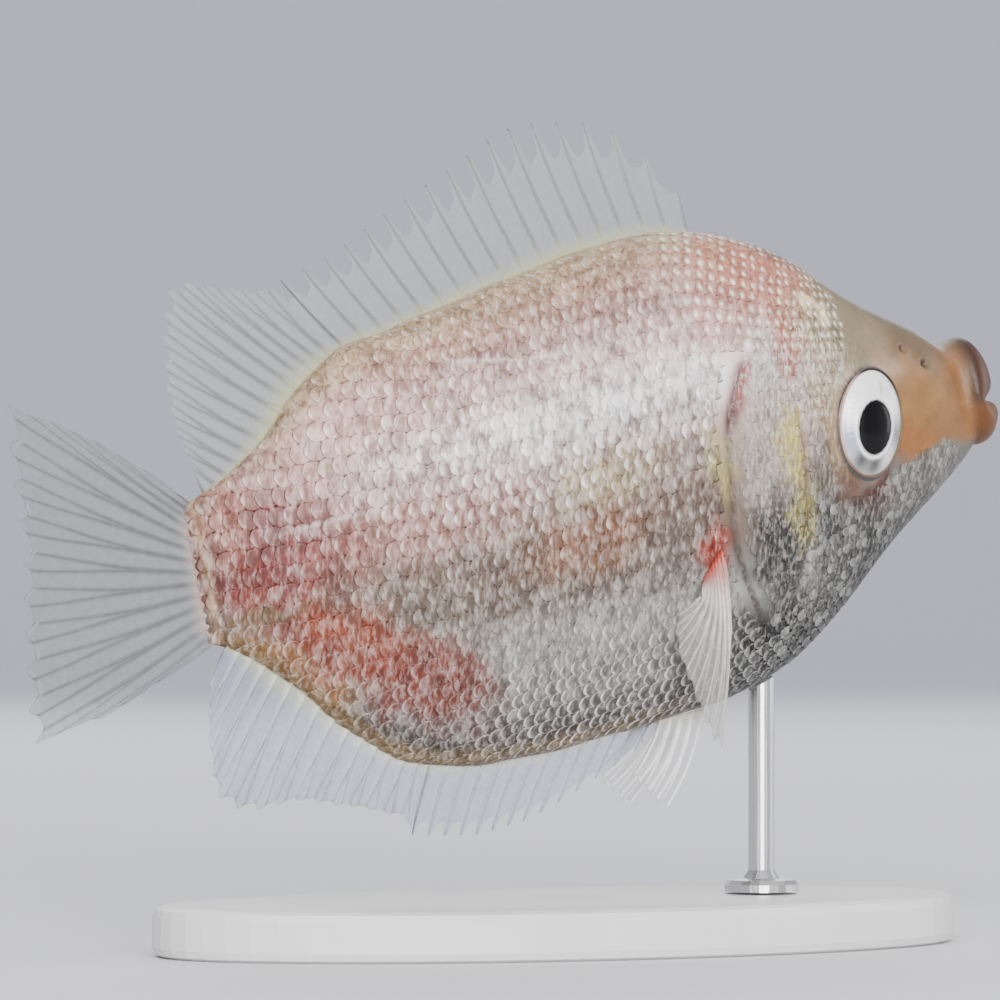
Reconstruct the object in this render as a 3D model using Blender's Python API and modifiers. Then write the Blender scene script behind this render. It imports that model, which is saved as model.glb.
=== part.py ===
# A kissing gourami on a plain display stand, at life size.
# Sizes below are millimetres in the fish's own frame: "along" runs from the tail root (0)
# to the mouth, "height" is square to it, and "across" is + on the fish's left side.
# The fish faces +X with its nose raised, and the table is Z = 0.

import math

import bpy
import bmesh
import numpy as np

MM = 0.001
GAP = 0.3

# Where the tail root stands above the table, and how far the nose is raised
TAIL_ROOT_X = -40.6
TAIL_ROOT_Z = 45.4
NOSE_UP = math.radians(11.5)

# Body: the snout ends behind the lips, and the tail stem and the torso meet at STEM_END
SNOUT_END = 101.0
STEM_END = 13.0
TORSO_END = 80.0
HEAD_START = 61.0
RING_POINTS = 36
STATION_STEP = 2.3
STATION_MARGIN = 2.0
WIDEST = 0.56

# Outlines as (along, height), and half the body's thickness as (along, half)
BACK = [(0, 8.8), (4, 10.3), (10, 13.8), (16, 19.0), (21, 22.2), (30, 24.0), (44, 26.5),
        (58, 28.5), (67, 28.5), (75, 26.4), (82, 22.6), (88, 17.2), (94, 12.8), (98, 10.0),
        (101, 7.4)]
BELLY = [(0, -8.9), (4, -11.4), (9, -16.0), (15, -22.8), (21, -27.4), (30, -29.9), (42, -30.4),
         (54, -29.9), (66, -28.8), (74, -26.3), (81, -21.9), (89, -15.7), (95, -11.6),
         (101, -7.6)]
HALF_WIDTH = [(0, 2.0), (5, 3.1), (13, 4.9), (25, 7.3), (40, 9.3), (55, 10.4), (68, 10.8),
              (78, 10.3), (86, 9.1), (93, 7.5), (98, 5.9), (101, 4.7)]
BACK_FULLNESS = 0.86
BELLY_FULLNESS = 0.92

# The slit behind the gill covers, top to bottom, which also parts the head from the torso
GILL_SLIT = [(76.5, 34.0), (75.4, 24.0), (73.6, 18.4), (70.6, 12.6), (67.8, 7.8), (66.1, 2.8),
             (65.4, -3.6), (65.0, -10.6), (66.0, -15.0), (67.4, -19.0), (69.6, -23.0),
             (73.4, -28.0), (78.0, -34.0)]
COVER_TOP = 12.2
COVER_BOTTOM = -21.0
COVER_FRONT = [(71.1, 12.9), (73.4, 12.1), (75.3, 9.2), (76.2, 2.0), (75.6, -6.0),
               (74.5, -13.0), (72.5, -18.0), (70.5, -20.6), (69.0, -21.5)]
COVER_THICKNESS = 1.3
COVER_PROUD = 0.35
COVER_FROM_MIDDLE = 1.0
POCKET_BEHIND = 12.0

# How far the cutting prisms reach: past the snout, above and below, and to each side
PRISM_AHEAD = 110.0
PRISM_ABOVE = 40.0
PRISM_ACROSS = 20.0

# Eyes: the ball's half sizes, how deep its centre lies under the skin, how far it turns with
# its side, and how far its long axis leans forward
EYE_ALONG = 85.9
EYE_HEIGHT = 0.8
EYE_SIZE = (5.6, 3.3, 7.75)
EYE_DEPTH = 2.2
EYE_TURN = math.radians(10)
EYE_LEAN = math.radians(17)
EYE_SEGMENTS = 24
EYE_RINGS = 14

# Lips: half their width across, and each lip's outline as (ahead of the snout, height),
# from its outer edge round the front to the line of the mouth
LIP_WIDTH = 4.9
LIP_MIDDLE = -0.4
LIP_HALF_HEIGHT = 7.9
LIP_SQUARENESS = 2.4
LIP_LEAST_SHARE = 0.02
MOUTH_TURNS = 16
UPPER_LIP = [(0.0, 7.2), (1.4, 7.3), (2.6, 7.9), (3.9, 7.5), (4.9, 6.1), (5.5, 4.2), (5.7, 2.4),
             (5.2, 0.9), (4.2, 0.15)]
LOWER_LIP = [(0.0, -7.6), (0.9, -7.0), (1.8, -5.9), (2.6, -4.9), (3.4, -5.3), (4.7, -5.0),
             (5.8, -3.7), (6.3, -2.0), (5.9, -0.6), (4.6, -0.15)]

# Nostrils as (along, height, radius), drilled square to the snout's side
NOSTRILS = [(96.4, 6.2, 0.55), (93.6, 8.6, 0.45)]
NOSTRIL_DEPTH = 1.0
NOSTRIL_TURN = math.radians(28)
NOSTRIL_SIDES = 10

# Fins: thickness of the membrane and of a ray at its root, and of everything at the tips.
# RAY_SHARE is how far a ray's slopes reach towards the next ray, and the edge shares are how
# far the outermost slopes stand beyond the first and last ray at the foot and at the tip
MEMBRANE = 0.5
RAY = 1.0
TIP = 0.3
RAY_SHARE = 0.24
EDGE_FOOT_SHARE = 0.6
EDGE_TIP_SHARE = 0.3
MEMBRANE_THINNING = 1.6
WAVE_PER_COLUMN = 0.45
WAVE_PER_LENGTH = 2.0
MEDIAN_FIN_ROWS = 6

# Dorsal fin, front to back: spines, then soft rays. Each list is (place along the fin, value)
BACK_SPINES = 18
BACK_SPINE_FOOT = (70.7, 23.2)
BACK_SPINE_LENGTH = [(0.0, 4.6), (0.06, 9.8), (0.13, 13.4), (0.24, 15.8), (0.36, 16.7),
                     (0.5, 15.2), (0.7, 13.2), (0.85, 11.6), (1.0, 11.0)]
BACK_SPINE_LEAN = [(0.0, 4.0), (0.2, 12.0), (0.45, 17.0), (0.7, 25.0), (1.0, 35.0)]
BACK_SOFT_FEET = [(0.0, 21.4), (0.5, 13.0), (1.0, 2.0)]
BACK_SOFT_TIPS = [(13.8, 31.2), (10.2, 32.2), (7.2, 33.2), (4.6, 34.1), (2.3, 33.4), (1.2, 31.0),
                  (0.5, 28.2), (0.0, 25.2), (-0.3, 22.4), (-0.3, 19.7), (0.0, 17.1),
                  (0.5, 14.9), (1.0, 12.9), (1.3, 11.2)]
BACK_FIN_NOTCHES = (0.16, 0.05)
BACK_FIN_BEND = 0.07

# Anal fin, back to front, in the same way
BELLY_SOFT_FEET = [(0.0, 1.2), (0.5, 11.5), (1.0, 22.5)]
BELLY_SOFT_TIPS = [(-1.8, -13.0), (-2.6, -16.6), (-3.3, -20.2), (-3.6, -23.6), (-3.3, -26.4),
                   (-1.3, -28.2), (1.4, -28.9), (4.0, -28.9), (6.7, -29.0), (9.0, -29.7),
                   (11.2, -30.6), (13.3, -31.2), (15.4, -32.0), (17.6, -33.0), (19.8, -34.0)]
BELLY_SPINES = 14
BELLY_SPINE_FOOT = (24.2, 54.0)
BELLY_SPINE_LENGTH = [(0.0, 8.3), (0.35, 8.9), (0.6, 8.6), (0.8, 6.6), (1.0, 3.8)]
BELLY_SPINE_LEAN = [(0.0, 27.0), (0.5, 34.0), (1.0, 42.0)]
BELLY_FIN_NOTCHES = (0.05, 0.2)
BELLY_FIN_BEND = -0.05

# Tail fin: its rays fan from the tail root to a margin that is hollowed a little
TAIL_ROOT_HALF = 8.2
TAIL_ROOT_THICKNESS = 1.6
TAIL_BEND = 0.04
TAIL_NOTCH = 0.05
TAIL_WAVE = 0.5
TAIL_ROWS = 7
TAIL_MARGIN = [(-3.4, 12.2), (-9.6, 17.4), (-15.0, 21.2), (-20.2, 24.3), (-20.9, 19.5),
               (-21.2, 14.9), (-21.6, 10.4), (-22.1, 6.0), (-22.7, 1.7), (-23.3, -2.6),
               (-24.1, -6.9), (-24.9, -11.3), (-24.7, -15.2), (-15.4, -14.0), (-6.0, -10.7)]

# Paired fins: the root's centre and its rise along and up, and the rays' tips, front to back
PECTORAL_ROOT = (61.1, -11.8)
PECTORAL_ROOT_RISE = (2.76, 3.68)
PECTORAL_TIPS = [(57.5, -33.4), (56.7, -32.2), (56.0, -30.0), (55.3, -27.2), (54.7, -24.2),
                 (54.2, -21.2), (54.2, -18.4), (55.2, -16.0)]
PECTORAL_TIP_ACROSS = 10.8
PECTORAL_STAND_OFF = 2.0
PECTORAL_ROOT_SWELL = 0.3
PECTORAL_NOTCH = 0.04
PECTORAL_ROWS = 7
PELVIC_FEET = (59.8, 53.8)
PELVIC_ACROSS = 2.6
PELVIC_SPREAD = 2.6
PELVIC_BEND = 0.25
PELVIC_NOTCH = 0.05
PELVIC_ROWS = 5
PELVIC_TIPS = [(51.4, -39.6), (50.4, -38.9), (49.6, -37.5), (48.6, -36.2), (47.6, -34.6)]

# Stand: an oval base and one rod with a foot, under the breast
BASE_LENGTH = 104.0
BASE_WIDTH = 52.0
BASE_HEIGHT = 6.0
BASE_CENTRE_X = 6.0
BASE_EDGE = 1.2
BASE_EDGE_STEPS = 2
BASE_SIDES = 64
ROD_ALONG = 69.6
ROD_RADIUS = 1.6
ROD_SIDES = 24
ROD_INTO_BREAST = 4.0
ROD_FOOT_RADIUS = 4.5
ROD_FOOT_HEIGHT = 1.6
ROD_FILLET = (0.6, 1.0)
ROD_FOOT_EDGE = 0.4
ROD_FOOT_FALL = (0.2, 0.7)
BEVELLED_ANGLE = math.radians(50)
SHARP_ANGLE = math.radians(40)


def clear_scene():
    for old in list(bpy.data.objects):
        bpy.data.objects.remove(old, do_unlink=True)


def curve_through(knots):
    """A smooth function through (place, value) points."""
    places, values = np.array(knots, dtype=float).T
    slopes = np.gradient(values, places)

    def value(place):
        place = np.clip(place, places[0], places[-1])
        i = np.clip(np.searchsorted(places, place) - 1, 0, len(places) - 2)
        step = places[i + 1] - places[i]
        t = (place - places[i]) / step
        start = (2 * t**3 - 3 * t**2 + 1) * values[i] + (t**3 - 2 * t**2 + t) * step * slopes[i]
        end = (3 * t**2 - 2 * t**3) * values[i + 1] + (t**3 - t**2) * step * slopes[i + 1]
        return start + end

    return value


back = curve_through(BACK)
belly = curve_through(BELLY)
half_width = curve_through(HALF_WIDTH)


def make_material(name, colour, roughness, metallic=0.0):
    material = bpy.data.materials.new(name)
    material.use_nodes = True
    shader = material.node_tree.nodes["Principled BSDF"]
    shader.inputs["Base Color"].default_value = (*colour, 1.0)
    shader.inputs["Roughness"].default_value = roughness
    shader.inputs["Metallic"].default_value = metallic
    return material


def make_collection(name):
    collection = bpy.data.collections.new(name)
    bpy.context.scene.collection.children.link(collection)
    return collection


clear_scene()
fish_parts = make_collection("kissing_gourami")
cutters = make_collection("cutters")
pose = bpy.data.objects.new("fish_pose", None)
pose.location = (TAIL_ROOT_X * MM, 0.0, TAIL_ROOT_Z * MM)
pose.rotation_euler = (0.0, -NOSE_UP, 0.0)
fish_parts.objects.link(pose)

FLESH = make_material("pearl_flesh", (0.72, 0.58, 0.54), 0.35)
COVER = make_material("silver_cover", (0.66, 0.66, 0.64), 0.3)
LIP = make_material("ochre_lip", (0.58, 0.4, 0.24), 0.45)
FIN = make_material("clear_fin", (0.66, 0.68, 0.7), 0.4)
EYE = make_material("silver_eye", (0.8, 0.81, 0.8), 0.12)
BASE = make_material("base_lacquer", (0.74, 0.74, 0.72), 0.35)
STEEL = make_material("rod_steel", (0.6, 0.6, 0.6), 0.3, 1.0)


def new_node(name, points, faces, material=None):
    """A closed mesh object from points in millimetres in the fish's frame. Without a
    material it is a cutter."""
    mesh = bpy.data.meshes.new(name)
    mesh.from_pydata([tuple(float(value) * MM for value in point) for point in points], [], faces)
    shell = bmesh.new()
    shell.from_mesh(mesh)
    bmesh.ops.recalc_face_normals(shell, faces=shell.faces)
    if shell.calc_volume(signed=True) < 0:
        bmesh.ops.reverse_faces(shell, faces=shell.faces)
    shell.to_mesh(mesh)
    shell.free()
    node = bpy.data.objects.new(name, mesh)
    if material is None:
        cutters.objects.link(node)
        node.hide_render = True
        node.display_type = "WIRE"
    else:
        fish_parts.objects.link(node)
        mesh.materials.append(material)
        mesh.shade_smooth()
    node.parent = pose
    return node


def body_ring(along, grow):
    """One cross-section of the body, all round."""
    top = back(along) + grow
    bottom = belly(along) - grow
    half = half_width(along) + grow
    middle = bottom + (top - bottom) * WIDEST
    angle = np.arange(RING_POINTS) * 2 * math.pi / RING_POINTS
    rise = np.sin(angle)
    out = np.cos(angle)
    fullness = np.where(rise > 0, BACK_FULLNESS, BELLY_FULLNESS)
    across = half * np.sign(out) * np.abs(np.round(out, 9)) ** fullness
    height = middle + rise * np.where(rise > 0, top - middle, middle - bottom)
    return [(along, a, h) for a, h in zip(across, height)]


def flank(along, height):
    """How far the body's side stands from its middle plane at a place."""
    top = back(along)
    bottom = belly(along)
    middle = bottom + (top - bottom) * WIDEST
    above = height > middle
    reach = (top - middle) if above else (middle - bottom)
    rise = min(abs(height - middle) / reach, 1.0)
    fullness = BACK_FULLNESS if above else BELLY_FULLNESS
    return float(half_width(along) * math.sqrt(1 - rise * rise) ** fullness)


def loft(name, rings, material):
    """A closed skin over rings of equal counts, with flat ends."""
    count = len(rings[0])
    points = [point for ring in rings for point in ring]
    faces = []
    for r in range(len(rings) - 1):
        for k in range(count):
            n = (k + 1) % count
            faces.append((r * count + k, r * count + n, (r + 1) * count + n, (r + 1) * count + k))
    last = (len(rings) - 1) * count
    faces.append(tuple(range(count)))
    faces.append(tuple(last + k for k in range(count)))
    return new_node(name, points, faces, material)


def body_length(name, start, end, grow=0.0, material=None):
    steps = max(2, int(round((end - start) / STATION_STEP)))
    stations = np.linspace(start, end, steps + 1)
    return loft(name, [body_ring(along, grow) for along in stations], material)


def prism(name, outline, low, high):
    """An (along, height) outline carried across the fish from low to high."""
    count = len(outline)
    points = [(a, low, h) for a, h in outline] + [(a, high, h) for a, h in outline]
    faces = [tuple(range(count)), tuple(range(count, 2 * count))]
    faces += [(k, (k + 1) % count, count + (k + 1) % count, count + k) for k in range(count)]
    return new_node(name, points, faces)


def combine(node, other, operation):
    """Applies one Boolean and keeps the largest closed surface that it leaves."""
    cut = node.modifiers.new("cut", "BOOLEAN")
    cut.operation = operation
    cut.object = other
    cut.solver = "MANIFOLD"
    bpy.context.view_layer.update()
    evaluated = node.evaluated_get(bpy.context.evaluated_depsgraph_get())
    mesh = bpy.data.meshes.new_from_object(evaluated)
    node.modifiers.clear()
    node.data = mesh
    keep_largest(mesh)


def keep_largest(mesh):
    shell = bmesh.new()
    shell.from_mesh(mesh)
    bmesh.ops.remove_doubles(shell, verts=shell.verts, dist=0.01 * MM)
    bmesh.ops.dissolve_degenerate(shell, edges=shell.edges, dist=0.01 * MM)
    bmesh.ops.triangulate(shell, faces=shell.faces)
    left = set(shell.verts)
    islands = []
    while left:
        island = []
        edge = [left.pop()]
        while edge:
            vertex = edge.pop()
            island.append(vertex)
            near = [link.other_vert(vertex) for link in vertex.link_edges]
            near = [other for other in near if other in left]
            left.difference_update(near)
            edge.extend(near)
        islands.append(island)
    islands.sort(key=len)
    loose = [vertex for island in islands[:-1] for vertex in island]
    bmesh.ops.delete(shell, geom=loose, context="VERTS")
    shell.to_mesh(mesh)
    shell.free()
    mesh.shade_smooth()


def discard(node):
    bpy.data.objects.remove(node, do_unlink=True)


def offset_line(line, distance):
    """The same line moved sideways, + to its left when walked from first to last."""
    points = np.array(line, dtype=float)
    run = np.gradient(points, axis=0)
    run /= np.linalg.norm(run, axis=1)[:, None]
    normal = np.stack([-run[:, 1], run[:, 0]], axis=1)
    return [tuple(point) for point in points + normal * distance]


def smooth_line(line, pieces):
    """A finer line through the same points."""
    points = np.array(line, dtype=float)
    spot = np.arange(len(points))
    fine = np.linspace(0, len(points) - 1, pieces)
    along = curve_through(list(zip(spot, points[:, 0])))
    height = curve_through(list(zip(spot, points[:, 1])))
    return [(float(along(place)), float(height(place))) for place in fine]


def move_to(node, collection):
    for home in list(node.users_collection):
        home.objects.unlink(node)
    collection.objects.link(node)


def eye_ball(side, grow=0.0, name="eye_ball", material=None):
    """An eye's ball, sunk in the head and turned with its side."""
    centre_across = flank(EYE_ALONG, EYE_HEIGHT) - EYE_DEPTH
    bpy.ops.mesh.primitive_uv_sphere_add(segments=EYE_SEGMENTS, ring_count=EYE_RINGS, radius=MM)
    ball = bpy.context.object
    ball.name = name
    move_to(ball, cutters if material is None else fish_parts)
    mesh = ball.data
    turn = EYE_TURN * side
    size = [value + grow for value in EYE_SIZE]
    for vertex in mesh.vertices:
        forward, across, up = (vertex.co[k] * size[k] for k in (0, 1, 2))
        along = forward * math.cos(EYE_LEAN) + up * math.sin(EYE_LEAN)
        height = up * math.cos(EYE_LEAN) - forward * math.sin(EYE_LEAN)
        vertex.co.x = EYE_ALONG * MM + along * math.cos(turn) + across * math.sin(turn)
        vertex.co.y = side * centre_across * MM - along * math.sin(turn) + across * math.cos(turn)
        vertex.co.z = EYE_HEIGHT * MM + height
    mesh.name = name
    ball.parent = pose
    if material is None:
        ball.hide_render = True
        ball.display_type = "WIRE"
    else:
        mesh.materials.append(material)
        mesh.shade_smooth()
    return ball


def make_flesh():
    """Tail stem, torso and head, parted by thin gaps, with pockets for covers and eyes."""
    body_length("tail_stem", GAP, STEM_END, material=FLESH)
    slit = smooth_line(GILL_SLIT, 31)
    behind = offset_line(slit, -GAP / 2)
    ahead = offset_line(slit, GAP / 2)

    torso = body_length("torso", STEM_END + GAP, TORSO_END, material=FLESH)
    corners = [(0.0, -PRISM_ABOVE), (0.0, PRISM_ABOVE)]
    region = prism("torso_region", behind + corners, -PRISM_ACROSS, PRISM_ACROSS)
    combine(torso, region, "INTERSECT")
    discard(region)

    head = body_length("head", HEAD_START, SNOUT_END, material=FLESH)
    corners = [(PRISM_AHEAD, -PRISM_ABOVE), (PRISM_AHEAD, PRISM_ABOVE)]
    region = prism("head_region", ahead + corners, -PRISM_ACROSS, PRISM_ACROSS)
    combine(head, region, "INTERSECT")
    discard(region)
    for side, side_name in ((1, "left"), (-1, "right")):
        fit_cover(head, ahead, side, "gill_cover_" + side_name)
        socket = eye_ball(side, GAP)
        combine(head, socket, "DIFFERENCE")
        discard(socket)
        eye_ball(side, 0.0, "eye_" + side_name, EYE)
        drill_nostrils(head, side)


def cover_outlines(ahead):
    """The gill cover's outline and its pocket's, which is wider by a gap."""
    rear = [spot for spot in ahead if COVER_BOTTOM < spot[1] < COVER_TOP]
    front = smooth_line(COVER_FRONT, 11)
    outline = rear + front[::-1]
    clear = offset_line(front, GAP)
    top, bottom = rear[0][1] + GAP, rear[-1][1] - GAP
    clear = [(clear[0][0], clear[0][1] + GAP), *clear[1:-1], (clear[-1][0], clear[-1][1] - GAP)]
    behind_slit = rear[0][0] - POCKET_BEHIND
    wider = [(behind_slit, top), (rear[0][0], top)] + clear + [(rear[-1][0], bottom),
                                                             (behind_slit, bottom)]
    return outline, wider


def fit_cover(head, ahead, side, name):
    """Makes one gill cover as a curved plate and cuts its pocket in the head."""
    outline, wider = cover_outlines(ahead)
    low, high = sorted((side * COVER_FROM_MIDDLE, side * PRISM_ACROSS))
    start, end = HEAD_START - STATION_MARGIN, TORSO_END + STATION_MARGIN
    cover = body_length(name, HEAD_START, TORSO_END, COVER_PROUD, COVER)
    plate = prism("cover_plate", outline, low, high)
    core = body_length("cover_core", start, end, -COVER_THICKNESS)
    combine(cover, plate, "INTERSECT")
    combine(cover, core, "DIFFERENCE")
    pocket = prism("cover_pocket", wider, low, high)
    floor = body_length("pocket_floor", start, end, -COVER_THICKNESS - GAP)
    combine(pocket, floor, "DIFFERENCE")
    combine(head, pocket, "DIFFERENCE")
    for used in (plate, core, pocket, floor):
        discard(used)


def drill_nostrils(head, side):
    for along, height, radius in NOSTRILS:
        bpy.ops.mesh.primitive_cylinder_add(vertices=NOSTRIL_SIDES, radius=radius * MM,
                                            depth=2 * NOSTRIL_DEPTH * MM)
        drill = bpy.context.object
        move_to(drill, cutters)
        drill.parent = pose
        drill.location = (along * MM, side * flank(along, height) * MM, height * MM)
        drill.rotation_euler = (math.radians(90), 0.0, -side * NOSTRIL_TURN)
        bpy.context.view_layer.update()
        combine(head, drill, "DIFFERENCE")
        discard(drill)


def make_lip(name, outline):
    """A lip carried half round the mouth from one corner to the other, closed at its back.
    Each height keeps its own width, so that the lip's back matches the snout."""
    start = SNOUT_END + GAP
    mouth = outline[-1][1]
    edge = outline[0][1]
    points = [(start, 0.0, mouth), (start, 0.0, edge)]
    inner = outline[1:]
    for angle in np.linspace(-math.pi / 2, math.pi / 2, MOUTH_TURNS + 1):
        for forward, height in inner:
            rise = (height - LIP_MIDDLE) / LIP_HALF_HEIGHT
            share = max(1 - abs(rise) ** LIP_SQUARENESS, LIP_LEAST_SHARE)
            width = LIP_WIDTH * math.sqrt(share)
            points.append((start + forward * math.cos(angle), width * math.sin(angle), height))
    count = len(inner)
    faces = []
    for turn in range(MOUTH_TURNS):
        row = 2 + turn * count
        for k in range(count - 1):
            faces.append((row + k, row + k + 1, row + count + k + 1, row + count + k))
        faces.append((1, row, row + count))
        faces.append((0, row + 2 * count - 1, row + count - 1))
    last = 2 + MOUTH_TURNS * count
    faces.append((1, *range(2, 2 + count), 0, *range(last + count - 1, last - 1, -1)))
    new_node(name, points, faces, LIP)


def sheet(name, middle, thickness):
    """A closed plate over a grid of middle points [column, row], with a thickness at each.
    Both faces are split along the same diagonals."""
    columns, rows, _ = middle.shape
    run = np.gradient(middle, axis=0)
    rise = np.gradient(middle, axis=1)
    normal = np.cross(run, rise)
    normal /= np.linalg.norm(normal, axis=2)[:, :, None]
    half = normal * thickness[:, :, None] / 2
    points = np.concatenate([(middle + half).reshape(-1, 3), (middle - half).reshape(-1, 3)])
    other = columns * rows

    def spot(c, r):
        return c * rows + r

    faces = []
    for c in range(columns - 1):
        for r in range(rows - 1):
            a, b = spot(c, r), spot(c + 1, r)
            d, e = spot(c + 1, r + 1), spot(c, r + 1)
            faces += [(a, b, d), (a, d, e)]
            faces += [(other + a, other + d, other + b), (other + a, other + e, other + d)]
    rim = [spot(c, 0) for c in range(columns)]
    rim += [spot(columns - 1, r) for r in range(1, rows)]
    rim += [spot(c, rows - 1) for c in range(columns - 2, -1, -1)]
    rim += [spot(0, r) for r in range(rows - 2, 0, -1)]
    for a, b in zip(rim, rim[1:] + rim[:1]):
        faces += [(a, other + a, b), (other + a, other + b, b)]
    new_node(name, points, faces, FIN)


def ray_columns(feet, tips, bends, notch):
    """Columns over a fin: each ray is a crest between two slopes, and the membrane between
    two rays stops short of their tips by the notch. Gives roots, tips, bends and crests."""
    columns = []
    count = len(feet)
    for i in range(count):
        for shift in (-RAY_SHARE, 0.0, RAY_SHARE):
            j = i + (1 if shift > 0 else -1)
            if not 0 <= j < count:
                j = i
            share = abs(shift)
            foot = feet[i] + (feet[j] - feet[i]) * share
            tip = tips[i] + (tips[j] - tips[i]) * share
            if shift and j == i:
                k = i + 1 if i == 0 else i - 1
                foot = feet[i] - (feet[k] - feet[i]) * share * EDGE_FOOT_SHARE
                tip = tips[i] - (tips[k] - tips[i]) * share * EDGE_TIP_SHARE
            if shift:
                tip = tip + (foot - tip) * notch
            columns.append((foot, tip, bends[i], shift == 0.0))
    return columns


def fin_grid(columns, rows, root_thickness, wave=0.0):
    """Middle points and thicknesses from columns, bending each ray and waving the fin."""
    steps = np.linspace(0.0, 1.0, rows)
    middle = np.zeros((len(columns), rows, 3))
    thickness = np.zeros((len(columns), rows))
    for c, (foot, tip, bend, crest) in enumerate(columns):
        reach = tip - foot
        sideways = np.array([-reach[2], 0.0, reach[0]])
        for r, step in enumerate(steps):
            middle[c, r] = foot + reach * step + sideways * bend * step * (1 - step)
            turn = c * WAVE_PER_COLUMN + step * WAVE_PER_LENGTH
            middle[c, r, 1] += wave * step**2 * math.sin(turn)
            root = root_thickness if crest else MEMBRANE + (root_thickness - RAY)
            thickness[c, r] = root + (TIP - root) * step ** (1.0 if crest else MEMBRANE_THINNING)
            if r == 1 and root_thickness > RAY:
                thickness[c, r] = min(thickness[c, r], RAY if crest else MEMBRANE)
    return middle, thickness


def point(along, height, across=0.0):
    return np.array([along, across, height])


def dorsal_rays():
    length = curve_through(BACK_SPINE_LENGTH)
    lean = curve_through(BACK_SPINE_LEAN)
    feet, tips = [], []
    for place in np.linspace(0.0, 1.0, BACK_SPINES):
        along = BACK_SPINE_FOOT[0] + (BACK_SPINE_FOOT[1] - BACK_SPINE_FOOT[0]) * place
        foot = point(along, back(along) + GAP)
        angle = math.radians(float(lean(place)))
        feet.append(foot)
        tips.append(foot + length(place) * point(-math.sin(angle), math.cos(angle)))
    soft = curve_through(BACK_SOFT_FEET)
    for i, tip in enumerate(BACK_SOFT_TIPS):
        along = float(soft(i / (len(BACK_SOFT_TIPS) - 1)))
        feet.append(point(along, back(along) + GAP))
        tips.append(point(*tip))
    return feet, tips


def anal_rays():
    feet, tips = [], []
    soft = curve_through(BELLY_SOFT_FEET)
    for i, tip in enumerate(BELLY_SOFT_TIPS):
        along = float(soft(i / (len(BELLY_SOFT_TIPS) - 1)))
        feet.append(point(along, belly(along) - GAP))
        tips.append(point(*tip))
    length = curve_through(BELLY_SPINE_LENGTH)
    lean = curve_through(BELLY_SPINE_LEAN)
    for place in np.linspace(0.0, 1.0, BELLY_SPINES):
        along = BELLY_SPINE_FOOT[0] + (BELLY_SPINE_FOOT[1] - BELLY_SPINE_FOOT[0]) * place
        foot = point(along, belly(along) - GAP)
        angle = math.radians(float(lean(place)))
        feet.append(foot)
        tips.append(foot + length(place) * point(-math.sin(angle), -math.cos(angle)))
    return feet, tips


def make_median_fin(names, feet, tips, split, notches, bend, rows):
    """A long fin in two nodes that meet half way between ray split - 1 and ray split."""
    columns = []
    for part, notch in ((slice(0, split), notches[0]), (slice(split, None), notches[1])):
        columns.append(ray_columns(feet[part], tips[part], [bend] * len(feet[part]), notch))
    share = 0.5
    foot = feet[split - 1] + (feet[split] - feet[split - 1]) * share
    tip = tips[split - 1] + (tips[split] - tips[split - 1]) * share
    tip = tip + (foot - tip) * notches[0]
    apart = feet[split] - feet[split - 1]
    apart = apart / np.linalg.norm(apart) * GAP / 2
    columns[0][-1] = (foot - apart, tip - apart, bend, False)
    columns[1][0] = (foot + apart, tip + apart, bend, False)
    for name, group in zip(names, columns):
        middle, thickness = fin_grid(group, rows, RAY)
        sheet(name, middle, thickness)


def make_tail_fin():
    """Rays that fan out from a thick root, in a sheet that waves a little from side to side."""
    last = len(TAIL_MARGIN) - 1
    feet, tips = [], []
    for i, tip in enumerate(TAIL_MARGIN):
        feet.append(point(0.0, TAIL_ROOT_HALF * (1 - 2 * i / last)))
        tips.append(point(*tip))
    columns = ray_columns(feet, tips, [TAIL_BEND] * len(feet), TAIL_NOTCH)
    middle, thickness = fin_grid(columns, TAIL_ROWS, TAIL_ROOT_THICKNESS, TAIL_WAVE)
    sheet("caudal_fin", middle, thickness)


def make_pectoral(side, name):
    """A drooping fan on a fleshy root, standing off the flank."""
    last = len(PECTORAL_TIPS) - 1
    feet, tips = [], []
    for i, tip in enumerate(PECTORAL_TIPS):
        from_middle = 0.5 - i / last
        along = PECTORAL_ROOT[0] + from_middle * PECTORAL_ROOT_RISE[0]
        height = PECTORAL_ROOT[1] + from_middle * PECTORAL_ROOT_RISE[1]
        root_across = flank(along, height) + GAP + RAY / 2 + PECTORAL_ROOT_SWELL
        feet.append(point(along, height, side * root_across))
        tips.append(point(*tip, side * PECTORAL_TIP_ACROSS))
    columns = ray_columns(feet, tips, [0.0] * len(feet), PECTORAL_NOTCH)
    middle, thickness = fin_grid(columns, PECTORAL_ROWS, RAY)
    for r, step in enumerate(np.linspace(0.0, 1.0, PECTORAL_ROWS)):
        middle[:, r, 1] += side * PECTORAL_STAND_OFF * math.sin(math.pi * step)
    thickness[:, 0] += 2 * PECTORAL_ROOT_SWELL
    sheet("pectoral_fin_" + name, middle, thickness)


def make_pelvic(side, name):
    last = len(PELVIC_TIPS) - 1
    feet, tips = [], []
    for i, tip in enumerate(PELVIC_TIPS):
        place = i / last
        along = PELVIC_FEET[0] + (PELVIC_FEET[1] - PELVIC_FEET[0]) * place
        foot = point(along, belly(along) - GAP, side * PELVIC_ACROSS)
        feet.append(foot)
        tips.append(point(*tip, side * (PELVIC_ACROSS + PELVIC_SPREAD)))
    columns = ray_columns(feet, tips, [PELVIC_BEND] * len(feet), PELVIC_NOTCH)
    middle, thickness = fin_grid(columns, PELVIC_ROWS, RAY)
    sheet("pelvic_fin_" + name, middle, thickness)


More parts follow.
